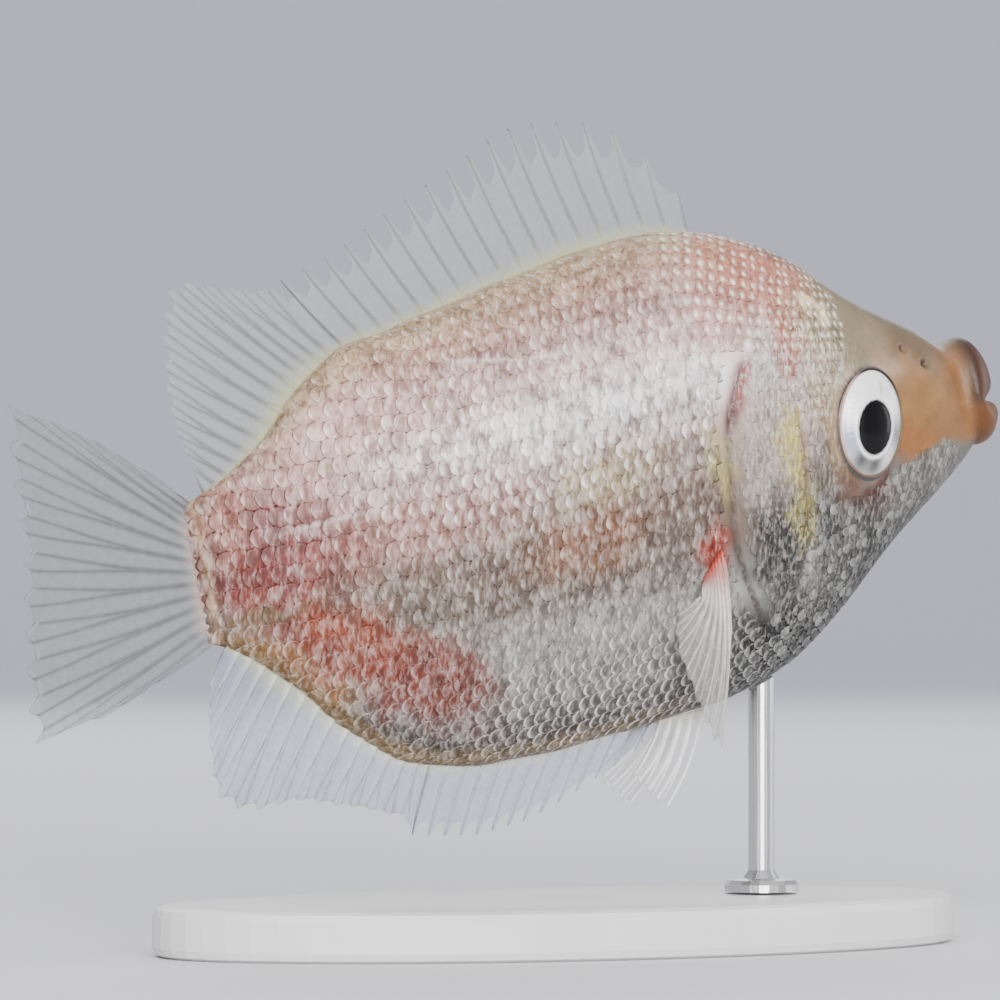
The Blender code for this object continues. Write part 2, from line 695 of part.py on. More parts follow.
def make_base():
    """An oval plate with a softened edge."""
    bpy.ops.mesh.primitive_cylinder_add(vertices=BASE_SIDES, radius=0.5, depth=BASE_HEIGHT * MM)
    base = bpy.context.object
    base.name = base.data.name = "stand_base"
    move_to(base, fish_parts)
    base.scale = (BASE_LENGTH * MM, BASE_WIDTH * MM, 1.0)
    base.location = (BASE_CENTRE_X * MM, 0.0, BASE_HEIGHT * MM / 2)
    bpy.ops.object.transform_apply(location=False, rotation=False, scale=True)
    soften = base.modifiers.new("edge", "BEVEL")
    soften.width = BASE_EDGE * MM
    soften.segments = BASE_EDGE_STEPS
    soften.limit_method = "ANGLE"
    soften.angle_limit = BEVELLED_ANGLE
    base.data.materials.append(BASE)
    base.data.shade_smooth()
    base.data.set_sharp_from_angle(angle=SHARP_ANGLE)


def rod_profile(top):
    """Half the rod's outline as (radius, height), from its head down to its foot."""
    foot_bottom = BASE_HEIGHT + GAP
    foot_top = foot_bottom + ROD_FOOT_HEIGHT
    fillet_out, fillet_up = ROD_FILLET
    edge_fall, rim_fall = ROD_FOOT_FALL
    return [(0.0, top), (ROD_RADIUS, top), (ROD_RADIUS, foot_top + fillet_up),
            (ROD_RADIUS + fillet_out, foot_top),
            (ROD_FOOT_RADIUS - ROD_FOOT_EDGE, foot_top - edge_fall),
            (ROD_FOOT_RADIUS, foot_top - rim_fall), (ROD_FOOT_RADIUS, foot_bottom),
            (0.0, foot_bottom)]


def make_rod():
    """A turned rod with a foot, its head hollowed to the breast."""
    lowest = belly(ROD_ALONG)
    top_x = TAIL_ROOT_X + ROD_ALONG * math.cos(NOSE_UP) - lowest * math.sin(NOSE_UP)
    top_z = TAIL_ROOT_Z + ROD_ALONG * math.sin(NOSE_UP) + lowest * math.cos(NOSE_UP)
    profile = rod_profile(top_z + ROD_INTO_BREAST)
    mesh = bpy.data.meshes.new("stand_rod")
    mesh.from_pydata([(r * MM, 0.0, z * MM) for r, z in profile],
                     [(k, k + 1) for k in range(len(profile) - 1)], [])
    rod = bpy.data.objects.new("stand_rod", mesh)
    fish_parts.objects.link(rod)
    rod.location = (top_x * MM, 0.0, 0.0)
    turn = rod.modifiers.new("turn", "SCREW")
    turn.steps = turn.render_steps = ROD_SIDES
    turn.use_merge_vertices = True
    turn.merge_threshold = 0.00001
    keepout = body_length("rod_keepout", STEM_END, SNOUT_END, GAP)
    bpy.context.view_layer.update()
    combine(rod, keepout, "DIFFERENCE")
    discard(keepout)
    rod.data.materials.clear()
    rod.data.materials.append(STEEL)
    rod.data.set_sharp_from_angle(angle=SHARP_ANGLE)


make_flesh()
make_lip("upper_lip", UPPER_LIP)
make_lip("lower_lip", LOWER_LIP)
dorsal_feet, dorsal_tips = dorsal_rays()
make_median_fin(("dorsal_fin_spiny", "dorsal_fin_soft"), dorsal_feet, dorsal_tips,
                BACK_SPINES, BACK_FIN_NOTCHES, BACK_FIN_BEND, MEDIAN_FIN_ROWS)
anal_feet, anal_tips = anal_rays()
make_median_fin(("anal_fin_soft", "anal_fin_spiny"), anal_feet, anal_tips,
                len(BELLY_SOFT_TIPS), BELLY_FIN_NOTCHES, BELLY_FIN_BEND, MEDIAN_FIN_ROWS)
make_tail_fin()
for fin_side, fin_name in ((1, "left"), (-1, "right")):
    make_pectoral(fin_side, fin_name)
    make_pelvic(fin_side, fin_name)
make_base()
make_rod()
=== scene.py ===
import math
import bpy
import numpy as np
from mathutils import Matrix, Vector


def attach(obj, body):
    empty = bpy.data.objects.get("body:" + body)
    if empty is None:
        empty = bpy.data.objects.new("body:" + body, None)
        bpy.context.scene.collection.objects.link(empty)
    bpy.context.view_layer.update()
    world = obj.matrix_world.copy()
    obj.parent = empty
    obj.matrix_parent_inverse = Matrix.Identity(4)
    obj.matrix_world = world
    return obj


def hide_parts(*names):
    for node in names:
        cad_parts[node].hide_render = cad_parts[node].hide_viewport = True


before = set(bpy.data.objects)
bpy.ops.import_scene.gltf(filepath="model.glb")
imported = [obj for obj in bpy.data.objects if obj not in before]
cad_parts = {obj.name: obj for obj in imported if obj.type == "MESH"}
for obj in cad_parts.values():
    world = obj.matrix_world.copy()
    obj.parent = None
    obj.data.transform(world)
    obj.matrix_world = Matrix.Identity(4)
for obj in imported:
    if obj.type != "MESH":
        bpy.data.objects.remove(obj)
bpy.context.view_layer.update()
print("frame loaded:", len(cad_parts), "nodes")

# The fish is drawn in its own frame, in millimetres: along runs from the tail root to the
# mouth, across is + on its left side, and height is square to both
mm = 0.001
fishPose = {"tailRoot": (-0.0406, 0.0, 0.0454), "noseUp": 11.5}
# how the light film is undone when a colour is picked on screen
filmForm = {"gain": 1.8, "strength": 1.45, "brightest": 0.92, "grey": (0.21, 0.72, 0.07)}


def curveThrough(knots):
    # a smooth curve through (place, value) knots, level beyond its ends
    places, values = np.array(knots, dtype=float).T
    slopes = np.gradient(values, places)

    def value(place):
        place = np.clip(place, places[0], places[-1])
        i = np.clip(np.searchsorted(places, place) - 1, 0, len(places) - 2)
        step = places[i + 1] - places[i]
        t = (place - places[i]) / step
        start = (2 * t**3 - 3 * t**2 + 1) * values[i] + (t**3 - 2 * t**2 + t) * step * slopes[i]
        end = (3 * t**2 - 2 * t**3) * values[i + 1] + (t**3 - t**2) * step * slopes[i + 1]
        return start + end

    return value


def softStep(low, high, value):
    t = np.clip((value - low) / (high - low), 0.0, 1.0)
    return t * t * (3 - 2 * t)


def between(value, rise, fall):
    # comes in over the rise and goes out over the fall, each a pair of places
    return softStep(*rise, value) * (1 - softStep(*fall, value))


def hump(value, centre, width):
    return np.exp(-((value - centre) / width) ** 2)


def towards(start, end, share):
    return start + (end - start) * share


def blend(colour, amount, tone):
    # each point's colour, carried towards a tone by that point's own amount
    return towards(colour, tone, np.asarray(amount)[..., None])


def turnBy(x, y, degrees):
    c, s = math.cos(math.radians(degrees)), math.sin(math.radians(degrees))
    return x * c - y * s, x * s + y * c


def rgb(red, green, blue):
    # a colour picked on screen, as the paint that shows it once the light film has softened it
    picked = np.array([red, green, blue]) / 255.0
    light = np.where(picked < 0.04045, picked / 12.92, ((picked + 0.055) / 1.055) ** 2.4)
    grey = light @ np.array(filmForm["grey"])
    paint = filmForm["gain"] * grey**2 * (light / grey) ** filmForm["strength"]
    return np.clip(paint, 0.0, filmForm["brightest"])


def waver(along, height, size, seed):
    # a smooth wandering value between about -1 and 1: four waves of about this size, out of step
    total = 0.0
    for k in range(4):
        turn = seed * 1.7 + k * 2.4
        way = along * math.cos(turn) + height * math.sin(turn)
        total = total + np.sin(way * 2 * math.pi / (size * (0.7 + 0.35 * k)) + turn * 3.1)
    return total / 2.6


def toWorld(points):
    points = np.asarray(points, dtype=float) * mm
    x, y, z = fishPose["tailRoot"]
    onward, upward = turnBy(points[..., 0], points[..., 2], fishPose["noseUp"])
    return np.stack([x + onward, y + points[..., 1], z + upward], -1)


# Camera first, at the photo's view: behind the fish's right side, turned to its tail
cameraPlace = {"azimuth": -25.0, "elevation": 0.0, "distance": 0.9, "lens": 270.0,
               "sensor": 36.0, "nearest": 0.01, "target": (-0.0020, 0.0, 0.0540)}


def makeCamera(place):
    turn, rise = math.radians(place["azimuth"]), math.radians(place["elevation"])
    back = Vector((math.sin(turn) * math.cos(rise), -math.cos(turn) * math.cos(rise),
                   math.sin(rise)))
    data = bpy.data.cameras.new("photoCamera")
    data.lens = place["lens"]
    data.sensor_width = place["sensor"]
    data.clip_start = place["nearest"]
    camera = bpy.data.objects.new("photoCamera", data)
    camera.location = Vector(place["target"]) + back * place["distance"]
    camera.rotation_euler = (-back).to_track_quat("-Z", "Y").to_euler()
    bpy.context.collection.objects.link(camera)
    bpy.context.scene.camera = camera


# Materials: a finish holds the values of the shader's own sockets
def newMaterial(name, finish):
    material = bpy.data.materials.new(name)
    material.use_nodes = True
    tree = material.node_tree
    shader = tree.nodes["Principled BSDF"]
    for socket, value in finish.items():
        shader.inputs[socket].default_value = value
    return material, tree, shader


def node(tree, kind, **values):
    # a node with its settings and its sockets' values, where _ stands for a space
    made = tree.nodes.new(kind)
    for key, value in values.items():
        if hasattr(made, key):
            setattr(made, key, value)
        else:
            made.inputs[key.replace("_", " ")].default_value = value
    return made


def feed(tree, socket, value):
    # a link, a number or a colour into a socket
    if isinstance(value, bpy.types.NodeSocket):
        tree.links.new(value, socket)
    elif isinstance(value, (int, float)):
        socket.default_value = value
    else:
        socket.default_value = (*value, 1.0)


def readAttribute(tree, name, output="Fac"):
    return node(tree, "ShaderNodeAttribute", attribute_name=name).outputs[output]


def mixColours(tree, factor, first, second, way="MIX"):
    mix = node(tree, "ShaderNodeMix", data_type="RGBA", blend_type=way)
    for place, value in ((0, factor), (6, first), (7, second)):
        feed(tree, mix.inputs[place], value)
    return mix.outputs[2]


def product(tree, first, second, clamped=False):
    result = node(tree, "ShaderNodeMath", operation="MULTIPLY", use_clamp=clamped)
    feed(tree, result.inputs[0], first)
    feed(tree, result.inputs[1], second)
    return result.outputs[0]


def stretched(tree, tall, shift=(0.0, 0.0, 0.0)):
    # places on the piece, for a texture that is stretched upright
    mapping = node(tree, "ShaderNodeMapping", Scale=(1.0, 1.0, tall), Location=shift)
    places = tree.nodes.new("ShaderNodeTexCoord").outputs["Object"]
    tree.links.new(places, mapping.inputs["Vector"])
    return mapping.outputs["Vector"]


def noise(tree, scale, detail, roughness, places=None):
    made = node(tree, "ShaderNodeTexNoise", Scale=scale, Detail=detail, Roughness=roughness)
    if places is None:
        places = tree.nodes.new("ShaderNodeTexCoord").outputs["Object"]
    tree.links.new(places, made.inputs["Vector"])
    return made.outputs["Fac"]


def remap(tree, value, low, high, newLow, newHigh):
    made = node(tree, "ShaderNodeMapRange", From_Min=low, From_Max=high, To_Min=newLow,
                To_Max=newHigh)
    tree.links.new(value, made.inputs["Value"])
    return made.outputs["Result"]


def addBump(tree, shader, height, strength, distance):
    bump = node(tree, "ShaderNodeBump", Strength=strength, Distance=distance)
    tree.links.new(height, bump.inputs["Height"])
    tree.links.new(bump.outputs["Normal"], shader.inputs["Normal"])


# a noise is its scale, detail and roughness; roughness runs over a pair
fleckLook = {"noise": (2300.0, 2.0, 0.6), "squash": 0.42, "strength": 0.8, "shift": (0.37, 0.21),
             "silver": (0.56, 0.56, 0.54), "gold": (0.62, 0.54, 0.2)}


def addFlecks(tree, colour):
    # small upright mirror flecks, silver and gold, where the head and breast carry them
    for k, name in enumerate(("silver", "gold")):
        shift = (fleckLook["shift"][0] * k, fleckLook["shift"][1] * k, 0.0)
        spots = noise(tree, *fleckLook["noise"], stretched(tree, fleckLook["squash"], shift))
        shown = remap(tree, spots, 0.5, 0.66, 0.0, fleckLook["strength"])
        amount = product(tree, shown, readAttribute(tree, name))
        colour = mixColours(tree, amount, colour, fleckLook[name])
    return colour


skinLook = {"grain": (2200.0, 3.0, 0.55), "cloud": (900.0, 4.0, 0.7), "roughness": (0.38, 0.55),
            "cloudTone": (0.5, 0.42, 0.34), "bump": (0.6, 0.0001),
            "finish": {"Metallic": 0.03, "Coat Weight": 0.1, "Coat Roughness": 0.35,
                       "Specular IOR Level": 0.3, "Subsurface Weight": 0.15,
                       "Subsurface Radius": (0.0012, 0.0006, 0.0004)}}


def skinMaterial():
    # moist bare skin: the markings with their painted highlight and shade, a soft cloud, the flecks
    # and a thin wet coat
    material, tree, shader = newMaterial("moistSkin", skinLook["finish"])
    grain = noise(tree, *skinLook["grain"])
    cloud = remap(tree, noise(tree, *skinLook["cloud"]), 0.4, 0.7, 0.0, 0.3)
    colour = mixColours(tree, cloud, readAttribute(tree, "tint", "Color"), skinLook["cloudTone"],
                        "MULTIPLY")
    feed(tree, shader.inputs["Base Color"], addFlecks(tree, colour))
    feed(tree, shader.inputs["Roughness"], remap(tree, grain, 0.2, 0.8, *skinLook["roughness"]))
    addBump(tree, shader, grain, *skinLook["bump"])
    return material


scaleLook = {"streak": (2300.0, 2.0, 0.6), "streakTall": 0.3, "mottle": (900.0, 2.0, 0.7),
             "mottleTall": 0.5, "roughness": (0.38, 0.54), "bump": (0.2, 0.00006),
             "paleStreak": (0.8, 0.72, 0.66), "darkStreak": (0.45, 0.4, 0.38),
             "paleMottle": (0.8, 0.74, 0.7), "darkMottle": (0.48, 0.41, 0.39),
             "finish": {"Metallic": 0.1, "Specular IOR Level": 0.3, "Coat Weight": 0.06,
                        "Coat Roughness": 0.2}}


def scaleMaterial():
    # pearly scales: each has its own tint and pattern with its painted highlight, and fine upright
    # streaks and a mottle
    material, tree, shader = newMaterial("pearlScales", scaleLook["finish"])
    streak = noise(tree, *scaleLook["streak"], stretched(tree, scaleLook["streakTall"]))
    mottle = noise(tree, *scaleLook["mottle"], stretched(tree, scaleLook["mottleTall"]))
    broken = readAttribute(tree, "broken")
    paleMottle = product(tree, remap(tree, mottle, 0.52, 0.66, 0.0, 0.2), broken)
    darkMottle = product(tree, remap(tree, mottle, 0.53, 0.37, 0.0, 1.0), broken)
    colour = readAttribute(tree, "tint", "Color")
    for name, amount, way in (
            ("paleStreak", remap(tree, streak, 0.5, 0.7, 0.0, 0.2), "MIX"),
            ("darkStreak", remap(tree, streak, 0.5, 0.3, 0.0, 0.6), "MULTIPLY"),
            ("paleMottle", paleMottle, "MIX"), ("darkMottle", darkMottle, "MULTIPLY")):
        colour = mixColours(tree, amount, colour, scaleLook[name], way)
    feed(tree, shader.inputs["Base Color"], addFlecks(tree, colour))
    feed(tree, shader.inputs["Roughness"], remap(tree, streak, 0.3, 0.7, *scaleLook["roughness"]))
    addBump(tree, shader, streak, *scaleLook["bump"])
    return material


finLook = {"grain": (900.0, 3.0, 0.6), "joints": 11.0, "jointTone": (0.2, 0.2, 0.2),
           "jointStrength": 0.22, "vary": (0.8, 1.2), "bump": (0.2, 0.0001),
           "finish": {"Roughness": 0.3, "Coat Weight": 0.2, "Coat Roughness": 0.15}}


def finMaterial():
    # clear skin between denser rays, jointed with fine cross lines
    material, tree, shader = newMaterial("clearFins", finLook["finish"])
    grain = noise(tree, *finLook["grain"])
    wave = node(tree, "ShaderNodeMath", operation="SINE")
    feed(tree, wave.inputs[0], product(tree, readAttribute(tree, "run"), finLook["joints"]))
    line = remap(tree, wave.outputs[0], 0.75, 1.0, 0.0, finLook["jointStrength"])
    joint = product(tree, line, readAttribute(tree, "ray"))
    colour = mixColours(tree, joint, readAttribute(tree, "tint", "Color"), finLook["jointTone"])
    feed(tree, shader.inputs["Base Color"], colour)
    vary = remap(tree, grain, 0.3, 0.7, *finLook["vary"])
    feed(tree, shader.inputs["Alpha"], product(tree, readAttribute(tree, "solid"), vary, True))
    addBump(tree, shader, grain, *finLook["bump"])
    return material


irisLook = {"streak": (3.0, 4.0, 0.65), "streakTone": (0.4, 0.42, 0.45),
            "finish": {"Metallic": 0.2, "Roughness": 0.4, "Specular IOR Level": 0.15,
                       "Coat Weight": 0.3, "Coat Roughness": 0.03}}


def eyeMaterial():
    # silver iris with fine radial streaks, a black pupil and a clear wet surface
    material, tree, shader = newMaterial("silverEye", irisLook["finish"])
    fine = noise(tree, *irisLook["streak"], readAttribute(tree, "streak", "Vector"))
    colour = mixColours(tree, remap(tree, fine, 0.4, 0.8, 0.0, 0.2),
                        readAttribute(tree, "tint", "Color"), irisLook["streakTone"], "MULTIPLY")
    feed(tree, shader.inputs["Base Color"], colour)
    return material


standLook = {
    "standLacquer": {"cloud": (60.0, 4.0, 0.6), "tall": 1.0, "span": (0.3, 0.7), "metallic": 0.0,
                     "dark": (0.62, 0.62, 0.61), "pale": (0.68, 0.68, 0.67),
                     "roughness": (0.32, 0.42), "peel": (2500.0, 2.0, 0.5),
                     "bump": (0.06, 0.0001)},
    "standSteel": {"cloud": (6000.0, 2.0, 0.6), "tall": 0.02, "span": (0.0, 1.0), "metallic": 1.0,
                   "dark": (0.5, 0.5, 0.5), "pale": (0.72, 0.72, 0.72),
                   "roughness": (0.22, 0.38)},
}


def standMaterial(name):
    # softly clouded lacquer, or steel brushed upright
    look = standLook[name]
    material, tree, shader = newMaterial(name, {"Metallic": look["metallic"]})
    cloud = noise(tree, *look["cloud"], stretched(tree, look["tall"]))
    spread = remap(tree, cloud, *look["span"], 0.0, 1.0)
    feed(tree, shader.inputs["Base Color"], mixColours(tree, spread, look["dark"], look["pale"]))
    feed(tree, shader.inputs["Roughness"], remap(tree, cloud, 0.3, 0.7, *look["roughness"]))
    if "peel" in look:
        addBump(tree, shader, noise(tree, *look["peel"]), *look["bump"])
    return material


# Meshes
def makePiece(name, points, faces, material, colours, numbers=None, uvs=None,
              smooth=None):
    mesh = bpy.data.meshes.new(name)
    places = toWorld(points)
    mesh.from_pydata(places.tolist(), [], [list(face) for face in faces])
    mesh.materials.append(material)
    layer = mesh.color_attributes.new("tint", "FLOAT_COLOR", "POINT")
    flat = np.ones((len(places), 4))
    flat[:, :3] = colours
    layer.data.foreach_set("color", flat.ravel())
    for key, values in (numbers or {}).items():
        values = np.asarray(values, dtype=float)
        kind, field = ("FLOAT", "value") if values.ndim == 1 else ("FLOAT_VECTOR", "vector")
        layer = mesh.attributes.new(key, kind, "POINT")
        layer.data.foreach_set(field, values.ravel())
    if uvs is not None:
        layer = mesh.uv_layers.new(name="OFBake")
        layer.data.foreach_set("uv", np.asarray(uvs, dtype=float).ravel())
    mesh.shade_smooth()
    if smooth is not None:
        mesh.polygons.foreach_set("use_smooth", smooth)
    piece = bpy.data.objects.new(name, mesh)
    bpy.context.collection.objects.link(piece)
    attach(piece, "root")
    return piece


def tubeFaces(index, first, last=None):
    # quads between rows of points, each row a ring, and a fan to a point at either end
    after = np.roll(index, -1, axis=1)
    faces = np.stack([index[:-1], after[:-1], after[1:], index[1:]], -1).reshape(-1, 4).tolist()
    faces += [[int(b), int(a), first] for a, b in zip(index[0], after[0])]
    if last is not None:
        faces += [[int(a), int(b), last] for a, b in zip(index[-1], after[-1])]
    return faces


# Body: outlines as (along, height), and half its thickness as (along, half)
bodyForm = {
    "back": [(-1, 8.4), (0, 8.8), (4, 10.3), (10, 13.8), (16, 19.0), (21, 22.2), (30, 24.0),
             (44, 26.5), (58, 28.5), (67, 28.5), (75, 26.4), (82, 22.6), (88, 17.2), (94, 12.8),
             (98, 10.0), (101, 7.4)],
    "belly": [(-1, -8.5), (0, -8.9), (4, -11.4), (9, -16.0), (15, -22.8), (21, -27.4),
              (30, -29.9), (42, -30.4), (54, -29.9), (66, -28.8), (74, -26.3), (81, -21.9),
              (89, -15.7), (95, -11.6), (101, -7.6)],
    "half": [(-1, 0.4), (-0.4, 0.95), (0.3, 1.7), (1.4, 2.35), (5, 3.1), (13, 4.9), (25, 7.3),
             (40, 9.3), (55, 10.4), (68, 10.8), (78, 10.3), (86, 9.1), (93, 7.5), (98, 5.9),
             (101, 4.7)],
    "widest": 0.56, "backFullness": 0.86, "bellyFullness": 0.92, "coatDepth": 0.24,
    "bareSnout": (90.0, 97.0), "thinnest": 0.1,
}
backAt = curveThrough(bodyForm["back"])
bellyAt = curveThrough(bodyForm["belly"])
halfAt = curveThrough(bodyForm["half"])


def bodyPoint(along, angle, side):
    # angle runs from -90 degrees at the belly to +90 at the back; side is +1 or -1
    depth = bodyForm["coatDepth"] * (1 - softStep(*bodyForm["bareSnout"], along))
    top = backAt(along) - depth
    bottom = bellyAt(along) + depth
    half = np.maximum(halfAt(along) - depth, bodyForm["thinnest"])
    middle = towards(bottom, top, bodyForm["widest"])
    rise, out = np.sin(angle), np.clip(np.cos(angle), 0.0, 1.0)
    fullness = np.where(rise > 0, bodyForm["backFullness"], bodyForm["bellyFullness"])
    across = side * half * out**fullness
    height = middle + rise * np.where(rise > 0, top - middle, middle - bottom)
    return np.stack([np.broadcast_to(along, across.shape), across, height], -1)


def flankAt(along, height):
    # half width of the solid body at a place
    top, bottom = backAt(along), bellyAt(along)
    middle = towards(bottom, top, bodyForm["widest"])
    upper = height > middle
    rise = np.clip((height - middle) / np.where(upper, top - middle, middle - bottom), -1, 1)
    fullness = np.where(upper, bodyForm["backFullness"], bodyForm["bellyFullness"])
    return halfAt(along) * (1 - rise**2) ** (fullness / 2)


def bodyLevel(along, height):
    # 0 on the belly's outline, 1 on the back's
    return np.clip((height - bellyAt(along)) / (backAt(along) - bellyAt(along)), 0, 1)


# A map from distance round the flank (0 on the widest line, + upwards) to the angle
mapStep = {"along": 0.5, "round": 0.25, "angles": 181, "reach": 45.0, "start": -1.0, "end": 104.0}


def makeFlankMap():
    alongs = np.arange(mapStep["start"], mapStep["end"], mapStep["along"])
    rounds = np.arange(-mapStep["reach"], mapStep["reach"], mapStep["round"])
    angles = np.linspace(-math.pi / 2, math.pi / 2, mapStep["angles"])
    table = np.zeros((len(alongs), len(rounds)))
    limits = np.zeros((len(alongs), 2))
    for i, along in enumerate(alongs):
        ring = bodyPoint(np.full(len(angles), along), angles, 1.0)
        walked = np.concatenate([[0.0], np.cumsum(np.linalg.norm(np.diff(ring, axis=0), axis=1))])
        walked -= np.interp(0.0, angles, walked)
        table[i] = np.interp(rounds, walked, angles)
        limits[i] = walked[0], walked[-1]
    return alongs, rounds, table, limits


mapAlongs, mapRounds, mapTable, mapLimits = makeFlankMap()


def angleAt(along, distance):
    i = np.clip((along - mapAlongs[0]) / mapStep["along"], 0, len(mapAlongs) - 1.001)
    j = np.clip((distance - mapRounds[0]) / mapStep["round"], 0, len(mapRounds) - 1.001)
    a, b = i.astype(int), j.astype(int)
    low = towards(mapTable[a, b], mapTable[a, b + 1], j - b)
    high = towards(mapTable[a + 1, b], mapTable[a + 1, b + 1], j - b)
    return towards(low, high, i - a)


def limitsAt(along):
    return tuple(np.interp(along, mapAlongs, mapLimits[:, k]) for k in (0, 1))


# Lines on the head, each as along = f(height)
headLines = {
    "crown": [(-12.0, 83.5), (0.0, 83.5), (6.0, 85.0), (9.0, 88.0), (14.0, 89.5), (20.0, 89.0),
              (26.0, 86.0)],
    "slit": [(-28.0, 73.4), (-23.0, 69.6), (-19.0, 67.4), (-15.0, 66.0), (-10.6, 65.0),
             (-3.6, 65.4), (2.8, 66.1), (7.8, 67.8), (12.6, 70.6), (18.4, 73.6), (24.0, 75.4)],
    "cheek": [(-24.0, 69.5), (-18.0, 72.5), (-13.0, 74.5), (-6.0, 75.6), (2.0, 76.2),
              (9.2, 75.3), (14.0, 73.6)],
}
# the top of the silver cobbles on the jaw, as height = f(along)
jawLine = [(78.0, -7.4), (86.3, -6.8), (88.6, -5.6), (92.4, -4.5), (96.3, -3.5), (98.9, -3.5),
           (101.0, -4.6)]
crownAt, slitAt, cheekAt = (curveThrough(line) for line in headLines.values())
jawTop = curveThrough(jawLine)
eyeForm = {"along": 85.9, "height": 0.8, "size": (5.6, 3.3, 7.75), "depth": 2.2, "turn": 10.0,
           "lean": 17.0, "orbit": (4.45, 6.15)}


def snoutFade(along, height):
    # 0 on the bare snout, 1 where the coat is whole: its last scales sink into the skin
    return np.maximum(softStep(0.0, 6.0, crownAt(height) - along),
                      softStep(-0.3, 1.5, jawTop(along) - height))


def slitDistance(along, height):
    return (along - slitAt(height)) * 0.96


def eyeReach(along, height):
    # 1 on the edge of the eye's opening, an ellipse that leans forward
    x, z = turnBy(along - eyeForm["along"], height - eyeForm["height"], eyeForm["lean"])
    return np.hypot(x / eyeForm["orbit"][0], z / eyeForm["orbit"][1])


def eyePlace(side, forward, proud, up):
    # places in an eye's own frame, carried to the fish's frame: leaned, then turned
    x, z = turnBy(forward, up, -eyeForm["lean"])
    x, across = turnBy(x, side * proud, -eyeForm["turn"] * side)
    centre = float(flankAt(eyeForm["along"], eyeForm["height"])) - eyeForm["depth"]
    return np.stack([eyeForm["along"] + x, side * centre + across, eyeForm["height"] + z], -1)


# heights and depths of the skin's relief, and where it comes in and goes out
reliefForm = {"coverRaise": 0.5, "coverFade": 3.0, "coverSpan": ((-23.5, -20.0), (10.5, 13.5)),
              "slitDepth": 0.55, "slitReach": 1.3, "cheekGroove": 0.26, "cheekGrooveAt": (0, 0.45),
              "cheekSwell": 0.16, "cheekSwellAt": (1.1, 0.8),
              "cheekStraight": (-22.0, -18.0), "cheekSpan": ((-21.0, -17.0), (9.0, 12.0)),
              "orbitDip": 0.6, "orbitEdge": (0.92, 1.12), "underEye": (-3.0, -6.0),
              "foldGroove": 0.22, "foldGrooveAt": (1.36, 0.09), "foldSwell": 0.14,
              "foldSwellAt": (1.2, 0.07), "nostrilDepth": 0.7, "nostrilRim": 0.16,
              "muscle": 0.12, "muscleSpan": ((2.0, 12.0), (55.0, 63.0)),
              "jawFold": 0.2, "jawCorner": (92.5, -8.5), "jawSpan": ((-13.0, -9.0), (-4.0, -1.5))}
# each nostril: along, height, size
nostrils = [(96.4, 6.2, 0.62), (93.6, 8.6, 0.5)]


def relief(along, height):
    # how far the skin stands proud of the plain body, in millimetres
    form = reliefForm
    gap = slitDistance(along, height)
    raised = form["coverRaise"] * np.exp(-np.clip(gap, 0, None) / form["coverFade"]) * (gap > 0)
    sunk = form["slitDepth"] * np.clip(1 + gap / form["slitReach"], 0, 1) ** 2 * (gap <= 0)
    total = (raised - sunk) * between(height, *form["coverSpan"])
    cheek = (along - cheekAt(height)) * softStep(*form["cheekStraight"], height)
    fold = (form["cheekSwell"] * hump(cheek, *form["cheekSwellAt"])
            - form["cheekGroove"] * hump(cheek, *form["cheekGrooveAt"]))
    total = total + fold * between(height, *form["cheekSpan"])
    ring = eyeReach(along, height)
    total = total - form["orbitDip"] * (1 - softStep(*form["orbitEdge"], ring))
    fold = (form["foldSwell"] * hump(ring, *form["foldSwellAt"])
            - form["foldGroove"] * hump(ring, *form["foldGrooveAt"]))
    total = total + fold * softStep(*form["underEye"], height)
    for place, level, size in nostrils:
        away = np.hypot(along - place, height - level)
        total = total - form["nostrilDepth"] * hump(away, 0.0, size * 0.75)
        total = total + form["nostrilRim"] * hump(away, size * 1.5, 0.3)
    muscle = np.sin(along * 0.55 + np.abs(height) * 0.35) * between(along, *form["muscleSpan"])
    corner, level = form["jawCorner"]
    jaw = hump(along - corner + 0.55 * (height - level), 0.0, 0.8)
    jaw = jaw * between(height, *form["jawSpan"])
    return total + form["muscle"] * muscle - form["jawFold"] * jaw


def surface(along, angle, side, lift=0.0):
    # places on the skin with its relief, each lifted off it along its own way out
    step, top = 0.02, math.pi / 2
    here = bodyPoint(along, angle, side)
    onward = bodyPoint(along + step, angle, side) - bodyPoint(along - step, angle, side)
    around = (bodyPoint(along, np.minimum(angle + step, top), side)
              - bodyPoint(along, np.maximum(angle - step, -top), side))
    out = -np.cross(onward, around) * np.asarray(side)[..., None]
    out /= np.linalg.norm(out, axis=-1, keepdims=True) + 1e-12
    return here + out * (relief(along, here[..., 2]) + lift)[..., None]


# Markings and painted light, as colours picked, in bands from belly to back and in soft patches
# painted light: the pale band near 0.70 is partly the fish's silver, partly a painted highlight
# from the light above; the darker bands below the middle are partly painted shade
bands = [
    (0.00, rgb(146, 138, 118)), (0.05, rgb(118, 115, 110)), (0.14, rgb(152, 152, 150)),
    (0.24, rgb(168, 169, 167)), (0.34, rgb(144, 134, 125)), (0.46, rgb(150, 134, 122)),
    (0.58, rgb(186, 170, 162)), (0.70, rgb(228, 222, 218)), (0.78, rgb(206, 186, 180)),
    (0.87, rgb(188, 160, 152)), (0.94, rgb(190, 162, 144)), (1.00, rgb(184, 170, 146)),
]
